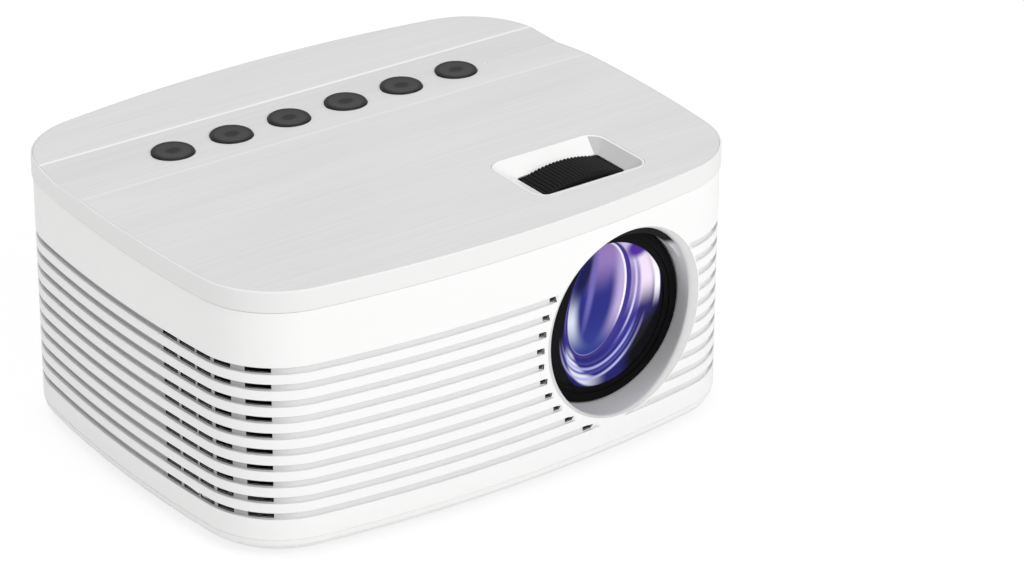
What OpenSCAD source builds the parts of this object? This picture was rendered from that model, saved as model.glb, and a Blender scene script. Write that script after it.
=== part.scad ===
// Table projector with a tray disc player. A bowed, rounded case stands on four feet. A slim
// disc drive lies on the floor of the case and opens at the rear. A steel plate over the drive
// carries the light engine: lamp and heat sink on the left, picture panel, corner mirror, and
// the lens at the front right. The top of the toothed focus ring shows in a window in the top.
// X runs across the front to the right, Y to the rear, Z up from the floor under the feet.

/* [Case] */
// Width across the bowed sides
case_w = 220; // [216:1:265]
// Depth from the front bow to the rear bow
case_d = 174.8; // [174:0.2:212]
// Height without the feet
case_h = 100.2; // [99.6:0.2:121]
// How far the front and the rear bow outwards
front_bow = 12.2; // [11:0.1:15]
// How far the sides bow outwards
side_bow = 7.6; // [6:0.1:9.2]
// Radius of the upright corners
corner_r = 32; // [27:1:38]
// Wall of the case
wall = 2.4; // [2:0.1:2.9]
// Floor of the bottom cover
floor_t = 2; // [1.6:0.1:2.4]
// Height of the bottom cover's side
base_h = 5; // [4.6:0.1:5]
// Height of the top cover's side
cover_h = 7.9; // [7.4:0.1:9.5]
// How far the top cover stands out over the body
cover_over = 0.5; // [0:0.1:0.8]
// Inset and height of the rounding at the bottom edge
bottom_round = 4.7; // [3.9:0.1:5.6]
// Radius of the rounding at the top edge
top_round = 1.3; // [1:0.1:1.5]
// Height of the rubber feet below the case
foot_h = 2.5; // [2:0.1:3]
// Radius of the rubber feet
foot_r = 7; // [5.8:0.1:8]

/* [Slots] */
// Number of slot rows
slot_rows = 10; // [6:1:11]
// Distance from row to row
slot_pitch = 6.19; // [5.2:0.01:6.9]
// Height of a slot
slot_gap = 2.5; // [2:0.1:3]
// Middle of the lowest slot above the bottom of the case
slot_first = 14.4; // [14:0.1:17]
// Depth of the blind grooves
groove_depth = 1.3; // [1:0.1:1.7]

/* [Top panel] */
// Thickness of the grained panel
panel_t = 1.2; // [1:0.1:1.4]
// Distance from the side of the case to the panel
panel_inset = 1.7; // [1.6:0.1:2.4]
// Where the valley of the buttons starts, behind the middle of the case
valley_front = 21.2; // [18:0.2:24]
// Bottom line of the valley
valley_mid = 39.2; // [36:0.2:42]
// Where the valley ends
valley_rear = 54.2; // [52:0.2:60]
// Depth of the valley
valley_depth = 1.3; // [1:0.1:1.5]
// Distance from button to button
button_pitch = 24.6; // [20.5:0.1:24.6]
// Middle of the first button, from the middle of the case
button_first = -61.3; // [-62:0.1:-52]
// Middle of the buttons behind the middle of the case
button_y = 38.4; // [36:0.1:40]
// Radius of a button
button_r = 7.8; // [6.5:0.1:9.3]
// Travel of a button
button_travel = 0.5; // [0.3:0.1:0.5]
// Length of the wheel window at the top, along X
window_l = 47.5; // [45:0.5:50]
// Width of the wheel window at the top, along Y
window_w = 32; // [30:0.5:33]

/* [Lens] */
// Middle of the lens to the right of the middle of the case
lens_x = 45.2; // [40:0.1:46]
// Middle of the lens below the top of the case
lens_drop = 50.7; // [49.6:0.1:50.7]
// Radius of the hole in the front
hole_r = 33.9; // [33.6:0.1:33.9]
// Outer radius of the white ring round the hole
ring_r = 34.7; // [34.5:0.1:34.7]
// Radius round the lens where the grooves end
groove_end_r = 36.8; // [36:0.1:39]
// How far the lens rim lies behind the front
lens_recess = 11.2; // [10:0.1:12]
// Radius of the lens rim
rim_r = 33.1; // [31:0.1:33.1]
// Radius of the front lens
front_lens_r = 29.8; // [28.5:0.1:29.8]
// Radius of the sliding tube
tube_r = 27.5; // [26.9:0.1:27.5]
// How far the teeth of the focus wheel stay below the top
wheel_below = 0.5; // [0.3:0.1:1]
// Width of the focus wheel's rim
wheel_w = 16; // [14:0.5:16.4]
// Travel of the lens each way
lens_travel = 2.25; // [1:0.05:2.25]
// Turn of the focus wheel each way, in degrees
focus_turn = 30; // [20:1:30]

/* [Light engine] */
// Half of the height inside the engine housing
engine_half = 29.2; // [28.8:0.1:29.2]
// Wall of the engine housing
engine_wall = 2; // [1.6:0.1:2]
// Length of the lens barrel
barrel_l = 40; // [38:0.5:40]
// Distance from the engine's front wall to the middle of the mirror
mirror_back = 44; // [43:0.5:45]
// Distance from the middle of the mirror to the picture panel
mirror_to_lcd = 52.6; // [52:0.1:54]
// Length of the picture panel
lcd_l = 97; // [90:1:97]
// Width and height of the fan
fan_size = 60; // [50:1:60]
// Thickness of the fan
fan_t = 15; // [10:1:15]

/* [Disc drive] */
// Width of the drive
drive_w = 128; // [126:0.5:130]
// Length of the drive pan
drive_l = 127.4; // [126:0.2:127.4]
// Thickness of the drive
drive_t = 12.7; // [12.7:0.1:12.8]
// Height of the standoffs under the drive
drive_lift = 2.6; // [2.6:0.1:2.8]
// Radius of the disc recess in the tray
disc_r = 60.5; // [60.5:0.1:60.6]
// Travel of the tray
tray_travel = 124; // [100:1:124]
// Travel of the laser sled
sled_travel = 33; // [25:1:33]

/* [Sockets] */
// Middle of the sockets above the bottom of the case
socket_h = 48; // [44:1:52]
// Length of the socket panel
socket_panel_l = 112; // [100:1:116]
// Height of the socket panel
socket_panel_h = 24; // [20:1:26]

/* [Hidden] */
$fn = 96;

// Colours
white = [0.95, 0.95, 0.95];
grain = [0.86, 0.86, 0.86];
black = [0.09, 0.09, 0.1];
steel = [0.7, 0.71, 0.73];
board_green = [0.1, 0.32, 0.2];
glass = [0.45, 0.42, 0.8];

// Small overlap that joins solids of one piece, and the clearances that fits use
joint = 0.05;
slide_gap = 0.1;
turn_gap = 0.06;
seat_gap = 0.3;

// Heights
base_z = foot_h;
low_z = base_z + base_h;
top_z = base_z + case_h;
high_z = top_z - cover_h;
floor_z = base_z + floor_t;
lip_h = 3;
lip_gap = 0.25;
lip_t = 1.4;
plate_under = top_z - panel_t - valley_depth - 1.6;
slots_top = base_z + slot_first + slot_pitch * slot_rows;
// Dashes that open the slots at the front corners, as distances behind the front
dashes = [[12.7, 19.5], [24.3, 31.2], [32.9, 40.4], [41.5, 49.9], [51.4, 59.5]];

// The plan of the case: four arcs that meet in round corners
function bow_radius(half, bow) = (half * half + bow * bow) / (2 * bow);
front_r = bow_radius(case_w / 2, front_bow);
side_r = bow_radius(case_d / 2, side_bow);
front_c = front_r - case_d / 2;
side_c = case_w / 2 - side_r;
arc_gap = norm([side_c, front_c]);
arc_dir = [side_c, -front_c] / arc_gap;
arc_along = (pow(front_r - corner_r, 2) - pow(side_r - corner_r, 2) + pow(arc_gap, 2)) / (2 * arc_gap);
arc_across = sqrt(pow(front_r - corner_r, 2) - pow(arc_along, 2));
// Middle of the front right corner
corner = [0, front_c] + arc_along * arc_dir + arc_across * [-arc_dir[1], arc_dir[0]];

function unit(v) = v / norm(v);
// Outside of the front at x, of the rear at x and of the right side at y
function front_y(x) = front_c - sqrt(pow(front_r, 2) - x * x);
function rear_y(x) = -front_y(x);
function side_x(y) = side_c + sqrt(pow(side_r, 2) - y * y);

// Screw columns in the four corners
post = [corner[0] + 8, -corner[1] + 17];
post_r = 4;
post_foot_z = low_z + lip_h + 0.6;
post_top_z = high_z - 1;
pilot_r = 1.25;
screw_r = 1.2;

// Feet, and the threaded insert under the case
foot_at = [corner[0] + 4, -corner[1] + 4];
foot_pocket = 0.8;
tilt_y = -case_d / 2 + 16.5;
tilt_r = 2.9;
tilt_boss_z = 15;
insert_y = tilt_y + 17;
insert_r = 4.8;
insert_l = 9;
insert_boss_r = 6.5;
thread_r = 3.175;

// Lens and focus, along Y
lens_z = top_z - lens_drop;
wheel_r = lens_drop - wheel_below;
wheel_half = 52;
tooth_step = 2.6;
lens_y = front_y(lens_x) + lens_recess;
cup_l = 8;
tube_l = 48;
barrel_in = tube_r + slide_gap;
barrel_r = 30.9;
barrel_y = lens_y + cup_l + lens_travel + 0.3;
engine_y = barrel_y + barrel_l;
wheel_y = lens_y + 11.9;
hub_r = 35;
hub_y = barrel_y + 2.2;
hub_rear = wheel_y + wheel_w - 1.4;
collar_y = hub_rear + 0.2;
pin_y = lens_y + 19;
pin_r = 1.5;
window_y = wheel_y + wheel_w / 2 + 1.6;
window_z = top_z - 3.2;
bezel_rear = lens_y - 0.4;

// Drive, from the rear
drive_z = floor_z + drive_lift;
drive_top = drive_z + drive_t;
sheet = 0.8;
drive_rear = rear_y(drive_w / 2) - wall - 0.8;
drive_front = drive_rear - drive_l;
tray_gap = 0.3;
tray_half = 60.9;
tray_z = drive_z + 2.2;
tray_top = drive_top - 2.5;
tray_front = drive_front + 2.4;
disc_y = drive_rear - 1 - disc_r;
disc_floor = tray_top - 2.8;
bezel_z = low_z + 0.4;
bezel_h = drive_top - bezel_z + 0.1;
bezel_l = drive_w + 1;
bezel_y = drive_rear + 0.2;
traverse_z = drive_z + 1.3;
rod_x = 17;
rod_z = drive_z + 4.5;
rod_r = 1.45;
sled_half = 2;
sled_y = disc_y - 23;
sled_l = 9;
seat_l = 1.6;
screw_x = -24.5;
well_front = sled_y - sled_travel - sled_l / 2 - seat_l - 0.4;
well_rear = disc_y + 14.5;
rod_end = disc_y - 16.5;
rail_l = drive_l - 14;
spindle_r = 1.5;
screw_r_out = 1.2;
eject_x = 46;

// Plate over the drive
plate_z = drive_top;
plate_t = 1;
plate_front = collar_y + 2;
plate_posts = [[70, drive_front + 7.4], [70, drive_rear - 12]];

// Light engine
mirror_y = engine_y + mirror_back;
lcd_x = lens_x - mirror_to_lcd;
mirror_t = 2;
mirror_half = 33 * sqrt(2);
engine_floor = lens_z - engine_half;
engine_top = lens_z + engine_half;
engine_x0 = lcd_x - 18;
engine_x1 = lens_x + 40.5;
lcd_room = lcd_l / 2 + seat_gap;
led_y = mirror_y;
sink_size = 44;
sink_x0 = -side_x(led_y + sink_size / 2) + wall + 6;
sink_t = 16;
led_x = sink_x0 + sink_t;
board_t = 1.6;
fan_y = led_y - sink_size / 2 - 0.7 - fan_size / 2;
fan_z = plate_z + plate_t + fan_size / 2;
fan_x0 = -(corner[0] + sqrt(pow(corner_r - wall, 2) - pow(min(0, fan_y - fan_size / 2 - corner[1]), 2))) + 0.6;
fan_r = fan_size / 2 - 1.6;
fan_shaft_r = 1.5;

// Boards
main_y = rear_y(0) - wall - 12;
socket_z = base_z + socket_h;
socket_face = rear_y(socket_panel_l / 2 - 12) - 1;
hdmi_x = -30;
usb_x = -8;
audio_x = [10, 23];
audio_r = 1.8;
dc_x = 41;
ir_x = -47;
ir_r = 3.6;

// Buttons and their board
key_board_z = plate_under - 10.3;
switch_top = key_board_z + board_t + 4.3;
button_top = top_z - valley_depth + 1.1;
light_x = button_first + 5 * button_pitch + 13.2;
light_r = 0.9;
key_post_x = max(light_x + 4, -button_first + 14.6);

// Speaker
speaker_y = 24;
speaker_r = 20;
speaker_x = side_x(speaker_y + speaker_r) - wall - 12.5;
speaker_z = plate_z + plate_t + speaker_r + 6;

// ---------------------------------------------------------------- shared shapes

// Plan of the case, set in by a distance
module plan(inset = 0, corner_fn = 96, arc_fn = 360) {
    difference() {
        intersection() {
            translate([0, front_c]) circle(front_r - inset, $fn = arc_fn);
            translate([0, -front_c]) circle(front_r - inset, $fn = arc_fn);
            translate([side_c, 0]) circle(side_r - inset, $fn = arc_fn);
            translate([-side_c, 0]) circle(side_r - inset, $fn = arc_fn);
        }
        for (sx = [0, 1], sy = [0, 1])
            mirror([sx, 0]) mirror([0, sy]) translate(corner) difference() {
                polygon([
                    [0, 0],
                    60 * unit(corner - [0, front_c]),
                    [60, -60],
                    60 * unit(corner - [side_c, 0])
                ]);
                circle(corner_r - inset, $fn = corner_fn);
            }
    }
}

// Upright block with the plan of the case
module block(z0, z1, inset = 0) {
    translate([0, 0, z0]) linear_extrude(z1 - z0) plan(inset);
}

// The same plan as points: half of the front, a corner and half of the side, then mirrored
function at_angle(middle, r, a) = middle + r * [cos(a), sin(a)];
front_end = atan2(corner[1] - front_c, corner[0]);
side_end = atan2(corner[1], corner[0] - side_c);
function quarter(inset) = concat(
    [for (k = [0 : 5]) at_angle([0, front_c], front_r - inset, -90 + (front_end + 90) * k / 5)],
    [for (k = [1 : 8]) at_angle(corner, corner_r - inset, front_end + (side_end - front_end) * k / 8)],
    [for (k = [1 : 4]) at_angle([side_c, 0], side_r - inset, side_end * (1 - k / 4))]
);
function flipped(points, sx, sy) = [for (p = points) [sx * p[0], sy * p[1]]];
function backwards(points) = [for (i = [len(points) - 2 : -1 : 0]) points[i]];
function tail(points) = [for (i = [1 : len(points) - 2]) points[i]];
function outline(inset) = let (q = quarter(inset), last = len(q) - 1) concat(
    q, flipped(backwards(q), 1, -1), flipped(tail(q), -1, -1), [[-q[last][0], q[last][1]]],
    flipped(tail(backwards(concat(q, [[0, 0]]))), -1, 1)
);

// Block whose edge is rounded along a list of [height, inset], lowest first
module rounded_block(levels) {
    rings = [for (level = levels) [for (p = outline(level[1])) [p[0], p[1], level[0]]]];
    n = len(rings[0]);
    m = len(rings);
    polyhedron(
        points = [for (ring = rings) each ring],
        faces = concat(
            [[for (i = [0 : n - 1]) i]],
            [for (j = [0 : m - 2], i = [0 : n - 1]) [j * n + i, (j + 1) * n + i, (j + 1) * n + (i + 1) % n]],
            [for (j = [0 : m - 2], i = [0 : n - 1]) [j * n + i, (j + 1) * n + (i + 1) % n, j * n + (i + 1) % n]],
            [[for (i = [n - 1 : -1 : 0]) (m - 1) * n + i]]
        )
    );
}

// Box from one corner to the other
module box(low, high) {
    translate(low) cube(high - low);
}

// Places children at the four mirrored points of one point
module four(p) {
    for (sx = [-1, 1], sy = [-1, 1]) translate([sx * p[0], sy * p[1], 0]) children();
}

// Places children on the lens axis at y, with their own Z along Y
module on_lens(y) {
    translate([lens_x, y, lens_z]) rotate([-90, 0, 0]) children();
}

// Places children at a point, with their own Z along Y
module along_y(x, y, z) {
    translate([x, y, z]) rotate([-90, 0, 0]) children();
}

// Places children at a point, with their own Z along X
module along_x(x, y, z) {
    translate([x, y, z]) rotate([0, 90, 0]) children();
}

// Round tube
module tube(r_out, r_in, l) {
    difference() {
        cylinder(r = r_out, h = l);
        translate([0, 0, -1]) cylinder(r = r_in, h = l + 2);
    }
}

// Pan head screw along Z, head at the bottom
module screw(l, head_r = 2.8, head_t = 1.8) {
    difference() {
        union() {
            cylinder(r = head_r, h = head_t);
            cylinder(r = screw_r, h = head_t + l);
        }
        for (turn = [0, 90]) rotate([0, 0, turn])
            translate([-1.6, -0.35, -1]) cube([3.2, 0.7, 2]);
    }
}

// Rectangle with round corners
module soft_rect(l, w, r) {
    difference() {
        square([l, w], center = true);
        for (sx = [0, 1], sy = [0, 1])
            mirror([sx, 0]) mirror([0, sy]) translate([l / 2 - r, w / 2 - r]) difference() {
                square(r + 1);
                circle(r, $fn = 48);
            }
    }
}

// ---------------------------------------------------------------- casing

// Slots of one height that run round the case, between two insets
module slot_bands(from, to, gap) {
    for (i = [0 : slot_rows - 1])
        translate([0, 0, base_z + slot_first + slot_pitch * i - gap / 2])
            linear_extrude(gap) difference() {
                plan(from);
                plan(to);
            }
}

module slot_openings() {
    intersection() {
        slot_bands(-1, wall + 1, slot_gap - 0.4);
        union() {
            for (side = [-1, 1], dash = dashes)
                box([side > 0 ? 90 : -case_w, -case_d / 2 + dash[0], base_z],
                    [side > 0 ? case_w : -90, -case_d / 2 + dash[1], slots_top]);
            box([corner[0] + 10, -4, base_z], [case_w, 52, slots_top]);
        }
    }
}

module base_cover() {
    round_h = base_h - 0.1;
    levels = concat(
        [for (a = [0 : 22.5 : 90]) [base_z + round_h * (1 - cos(a)), bottom_round * (1 - sin(a))]],
        [[low_z, 0]]
    );
    color(white) difference() {
        union() {
            difference() {
                union() {
                    rounded_block(levels);
                    block(low_z - joint, low_z + lip_h, wall + lip_gap);
                }
                block(floor_z, low_z + lip_h + 1, wall + lip_gap + lip_t);
                // the lip is open where the tray comes out
                box([-bezel_l / 2 - 1, rear_y(bezel_l / 2) - wall - 4, low_z],
                    [bezel_l / 2 + 1, case_d, low_z + 10]);
                intersection() {
                    block(drive_z - seat_gap, low_z + 1, wall + 0.2);
                    box([-drive_w / 2 - 1, drive_rear - 4, base_z], [drive_w / 2 + 1, case_d, top_z]);
                }
            }
            translate([0, 0, floor_z - joint]) {
                four(post) cylinder(r = post_r, h = post_foot_z - floor_z + joint);
                for (p = plate_posts, sx = [-1, 1])
                    translate([sx * p[0], p[1], 0]) cylinder(r = 3.5, h = plate_z - floor_z + joint);
                for (p = plate_posts, sx = [-1, 1])
                    translate([sx * (drive_w / 2 - 9), p[1], 0]) cylinder(r = 4, h = drive_lift + joint);
                translate([0, insert_y, 0]) cylinder(r = insert_boss_r, h = insert_l - floor_t);
                translate([0, tilt_y, 0]) cylinder(r = 6, h = tilt_boss_z - floor_z + joint);
            }
        }
        four(post) {
            translate([0, 0, base_z - 1]) cylinder(r = 1.7, h = 30);
            translate([0, 0, base_z - 1]) cylinder(r = 3.2, h = 3.4);
        }
        for (p = plate_posts, sx = [-1, 1])
            translate([sx * p[0], p[1], plate_z - 9]) cylinder(r = pilot_r, h = 10);
        four(foot_at) translate([0, 0, base_z - 1]) cylinder(r = foot_r + slide_gap, h = 1 + foot_pocket);
        translate([0, insert_y, base_z - 1]) cylinder(r = insert_r + joint, h = insert_l + 2);
        translate([0, tilt_y, base_z - 1]) cylinder(r = tilt_r + slide_gap, h = 40);
        // grille under the fan
        for (i = [0 : 6])
            box([-100 + 4.6 * i, -34, base_z - 1], [-97.6 + 4.6 * i, 10, floor_z + 1]);
    }
}

module body_shell() {
    color(white) difference() {
        union() {
            difference() {
                block(low_z, high_z);
                block(low_z - 1, high_z + 1, wall);
            }
            for (sx = [0, 1], sy = [0, 1]) mirror([sx, 0, 0]) mirror([0, sy, 0]) {
                translate([post[0], -post[1], post_foot_z])
                    cylinder(r = post_r, h = post_top_z - post_foot_z);
                intersection() {
                    translate([post[0], -post[1], post_foot_z]) rotate([0, 0, atan2(-17, 8)])
                        translate([0, -0.8, 0]) cube([20, 1.6, high_z - lip_h - 1 - post_foot_z]);
                    block(post_foot_z, high_z, wall - joint);
                }
            }
        }
        slot_openings();
        difference() {
            slot_bands(-1, groove_depth, slot_gap);
            on_lens(-case_d) cylinder(r = groove_end_r, h = case_d);
            box([-socket_panel_l / 2 - 4, 0, socket_z - socket_panel_h / 2 - 4],
                [socket_panel_l / 2 + 4, case_d, socket_z + socket_panel_h / 2 + 4]);
        }
        on_lens(-case_d) cylinder(r = ring_r + slide_gap, h = case_d - 20);
        // socket window and tray opening
        box([-socket_panel_l / 2, 40, socket_z - socket_panel_h / 2],
            [socket_panel_l / 2, case_d, socket_z + socket_panel_h / 2]);
        box([-bezel_l / 2 - 0.5, 40, low_z - 1], [bezel_l / 2 + 0.5, case_d, bezel_z + bezel_h + 0.4]);
        four(post) {
            translate([0, 0, post_foot_z - 1]) cylinder(r = pilot_r, h = 16);
            translate([0, 0, post_top_z - 17]) cylinder(r = pilot_r, h = 18);
        }
    }
}

// Window of the wheel: a bevelled funnel, and wider room for the wheel below it
module window_funnel() {
    hull() {
        translate([lens_x, window_y, top_z])
            linear_extrude(0.1) soft_rect(window_l, window_w, 6);
        translate([lens_x, window_y - 1.6, window_z])
            linear_extrude(0.1) soft_rect(window_l - 12, wheel_w + 1.4, 1.5);
    }
    translate([lens_x, window_y - 1.6, plate_under - 0.1])
        linear_extrude(window_z - plate_under + 0.15) soft_rect(window_l - 7, wheel_w + 2.4, 1.5);
}

// Profile of the top: flat, a shallow valley, flat again, moved down by a distance
function top_profile(drop) = [
    [-case_d, top_z - drop], [valley_front, top_z - drop],
    [valley_mid, top_z - valley_depth - drop], [valley_rear, top_z - drop],
    [case_d, top_z - drop]
];

module top_layer(from, to) {
    lower = top_profile(to);
    translate([-case_w, 0, 0]) rotate([90, 0, 90]) linear_extrude(2 * case_w)
        polygon(concat(top_profile(from), [for (i = [len(lower) - 1 : -1 : 0]) lower[i]]));
}

module top_cover() {
    levels = concat(
        [[high_z, -cover_over]],
        [for (a = [0 : 18 : 90]) [top_z - top_round * (1 - sin(a)), top_round * (1 - cos(a)) - cover_over]]
    );
    color(white) difference() {
        union() {
            difference() {
                union() {
                    rounded_block(levels);
                    block(high_z - lip_h, high_z + joint, wall + lip_gap);
                }
                block(high_z - lip_h - 1, high_z, wall + lip_gap + lip_t);
                block(high_z - joint, plate_under, wall + lip_gap + lip_t);
                top_layer(-5, 0);
                // bed of the grained panel
                difference() {
                    intersection() {
                        top_layer(-5, panel_t);
                        block(plate_under, top_z + 5, panel_inset - slide_gap);
                    }
                    translate([lens_x, window_y, plate_under])
                        linear_extrude(top_z - plate_under) soft_rect(window_l + 1.4, window_w + 1.4, 6.6);
                }
            }
            four(post) translate([0, 0, post_top_z]) cylinder(r = post_r, h = plate_under - post_top_z + joint);
            for (sx = [-1, 1], sy = [-1, 1])
                translate([sx * key_post_x, button_y + sy * 7, key_board_z + board_t])
                    cylinder(r = 2.4, h = plate_under - key_board_z - board_t + joint);
        }
        window_funnel();
        four(post) {
            translate([0, 0, post_top_z - 1]) cylinder(r = 1.7, h = 30);
            translate([0, 0, plate_under + 0.2]) cylinder(r = 3.2, h = 30);
        }
        for (i = [0 : 5])
            translate([button_first + i * button_pitch, button_y, plate_under - 1])
                cylinder(r = button_r + 0.25, h = 20);
        translate([light_x, button_y, plate_under - 1]) cylinder(r = light_r + slide_gap, h = 20);
    }
}

module top_panel() {
    color(grain) difference() {
        intersection() {
            top_layer(0, panel_t);
            block(plate_under, top_z + 5, panel_inset);
        }
        translate([lens_x, window_y, plate_under])
            linear_extrude(20) soft_rect(window_l + 1.6, window_w + 1.6, 6.7);
        for (i = [0 : 5])
            translate([button_first + i * button_pitch, button_y, plate_under - 1])
                cylinder(r = button_r + 0.25, h = 20);
        translate([light_x, button_y, plate_under - 1]) cylinder(r = light_r + slide_gap, h = 20);
    }
}

module lens_bezel() {
    flange_y = lens_y - 4.8;
    color(white) difference() {
        union() {
            intersection() {
                on_lens(-case_d) cylinder(r = ring_r, h = bezel_rear + case_d);
                block(base_z, top_z);
            }
            // a lip above and one below, behind the wall of the case
            intersection() {
                on_lens(flange_y) cylinder(r = ring_r + 3, h = 1.4);
                box([lens_x - 30, flange_y - 1, base_z], [lens_x + 30, 0, top_z]);
            }
        }
        on_lens(-case_d - 1) cylinder(r = hole_r, h = case_d * 2);
    }
}

module socket_panel() {
    half = [socket_panel_l / 2, socket_panel_h / 2];
    color(black) difference() {
        union() {
            intersection() {
                difference() {
                    block(low_z, high_z, 0.6);
                    block(low_z - 1, high_z + 1, 2.6);
                }
                box([-half[0] + slide_gap, 40, socket_z - half[1] + slide_gap],
                    [half[0] - slide_gap, case_d, socket_z + half[1] - slide_gap]);
            }
            intersection() {
                difference() {
                    block(low_z, high_z, 2.5);
                    block(low_z - 1, high_z + 1, 3.9);
                }
                box([-half[0] - 2.5, 40, socket_z - half[1] - 2.5], [half[0] + 2.5, case_d, socket_z + half[1] + 2.5]);
            }
        }
        // the frame stays a hair behind the wall of the case
        difference() {
            block(low_z - 1, high_z + 1, 2.3);
            block(low_z - 2, high_z + 2, wall + 0.1);
            box([-half[0] + slide_gap, 40, socket_z - half[1] + slide_gap],
                [half[0] - slide_gap, case_d, socket_z + half[1] - slide_gap]);
        }
        box([hdmi_x - 7.9, 40, socket_z - 3.2], [hdmi_x + 7.9, case_d, socket_z + 3.2]);
        box([usb_x - 6.9, 40, socket_z - 3.2], [usb_x + 6.9, case_d, socket_z + 3.2]);
        for (x = audio_x) along_y(x, 40, socket_z) cylinder(r = 3.2, h = case_d);
        along_y(dc_x, 40, socket_z) cylinder(r = 4, h = case_d);
        along_y(ir_x, 40, socket_z) cylinder(r = ir_r + slide_gap, h = case_d);
    }
}

module ir_window() {
    face = rear_y(ir_x) - 0.9;
    color([0.25, 0.02, 0.04]) {
        along_y(ir_x, face - 5, socket_z) cylinder(r = ir_r, h = 5);
        along_y(ir_x, face - 5 - 1.2 + joint, socket_z) cylinder(r = ir_r + 1, h = 1.2);
    }
}

module status_light() {
    color([0.75, 0.8, 0.95])
        translate([light_x, button_y, key_board_z + board_t + seat_gap])
            cylinder(r = light_r, h = top_z - valley_depth - key_board_z - board_t - seat_gap);
}

module case_screws() {
    color(steel) four(post) translate([0, 0, base_z + 0.5]) screw(20);
}

module cover_screws() {
    color(steel) four(post) translate([0, 0, plate_under + 0.2 + 1.8]) mirror([0, 0, 1]) screw(20);
}

module rubber_feet() {
    color(black) four(foot_at) cylinder(r = foot_r, h = base_z + foot_pocket);
}

module tilt_foot() {
    color(black) translate([0, tilt_y, 0]) {
        translate([0, 0, 0.3]) cylinder(r = 8, h = base_z - 0.6);
        translate([0, 0, base_z - 0.6]) cylinder(r = tilt_r, h = 19);
    }
}

module tripod_insert() {
    color([0.75, 0.6, 0.3]) translate([0, insert_y, base_z + 0.2]) tube(insert_r, thread_r, insert_l - 0.4);
}

// ---------------------------------------------------------------- buttons

module button(i) {
    flange_z = plate_under - 0.2 - 1.2;
    color(black) translate([button_first + i * button_pitch, button_y, 0]) {
        translate([0, 0, flange_z + 1]) cylinder(r = button_r, h = button_top - flange_z - 1);
        translate([0, 0, flange_z]) cylinder(r = button_r + 1, h = 1.2);
        translate([0, 0, switch_top + button_travel + 0.1])
            cylinder(r = 1.6, h = flange_z - switch_top - button_travel);
    }
}

module button_1() { button(0); }
module button_2() { button(1); }
module button_3() { button(2); }
module button_4() { button(3); }
module button_5() { button(4); }
module button_6() { button(5); }

module button_board() {
    color(board_green) difference() {
        box([-key_post_x - 3.4, button_y - 10, key_board_z], [key_post_x + 3.4, button_y + 10, key_board_z + board_t]);
        for (sx = [-1, 1], sy = [-1, 1])
            translate([sx * key_post_x, button_y + sy * 7, key_board_z - 1]) cylinder(r = 1.1, h = 5);
    }
    for (i = [0 : 5]) translate([button_first + i * button_pitch, button_y, key_board_z + board_t - joint]) {
        color(black) translate([-3, -3, 0]) cube([6, 6, 3.5 + joint]);
        color("silver") cylinder(r = 1.7, h = 4.3 + joint);
    }
}

// ---------------------------------------------------------------- lens and focus

// Depth of a spherical cap of radius r on a sphere of radius s
function cap(s, r) = s - sqrt(s * s - r * r);

// Lens on the lens axis: edge from y0 to y1, radius r, spheres s0 in front and s1 behind
module lens(y0, y1, r, s0, s1) {
    on_lens(y0) rotate_extrude() polygon(concat(
        [[0, s0 > 0 ? -cap(s0, r) : 0]],
        [for (k = [1 : 10]) [r * k / 10, (s0 > 0 ? 1 : -1) * (cap(abs(s0), r * k / 10) - (s0 > 0 ? cap(s0, r) : 0))]],
        [for (k = [10 : -1 : 1]) [r * k / 10, y1 - y0 + (s1 > 0 ? cap(s1, r) - cap(s1, r * k / 10) : cap(-s1, r * k / 10) - cap(-s1, r))]],
        [[0, y1 - y0 + (s1 > 0 ? cap(s1, r) : -cap(-s1, r))]]
    ));
}

module lens_cell() {
    color(black) difference() {
        union() {
            on_lens(lens_y) cylinder(r = rim_r, h = cup_l);
            on_lens(lens_y + cup_l - joint) cylinder(r = tube_r, h = tube_l - cup_l);
        }
        on_lens(lens_y - 1) cylinder(r = front_lens_r + slide_gap, h = 8);
        on_lens(lens_y + 5) cylinder(r = 26.4, h = 9);
        on_lens(lens_y + 13.9) cylinder(r = 24.6, h = 50);
        translate([lens_x, pin_y, lens_z]) rotate([180, 0, 0])
            translate([0, 0, tube_r - 1.6]) cylinder(r = pin_r + 0.05, h = 10);
    }
}

module front_lens() { color(glass) lens(lens_y + 3, lens_y + 6, front_lens_r, 67, 150); }
module middle_lens() { color(glass) lens(lens_y + 18, lens_y + 22.5, 24.5, 90, -80); }
module rear_lens() { color(glass) lens(lens_y + 33, lens_y + 37, 24.5, 80, 70); }

module lens_retainer() {
    color(black) on_lens(lens_y + 0.3) tube(front_lens_r, front_lens_r - 2.2, 1.5);
}

module lens_spacer() {
    color(black) on_lens(lens_y + 22.7) tube(24.5, 22.6, 9.5);
}

module focus_pin() {
    color(steel) translate([lens_x, pin_y, lens_z]) rotate([180, 0, 0])
        translate([0, 0, tube_r - 1.55]) cylinder(r = pin_r, h = hub_r - 1.8 - tube_r + 1.55);
}

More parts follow.
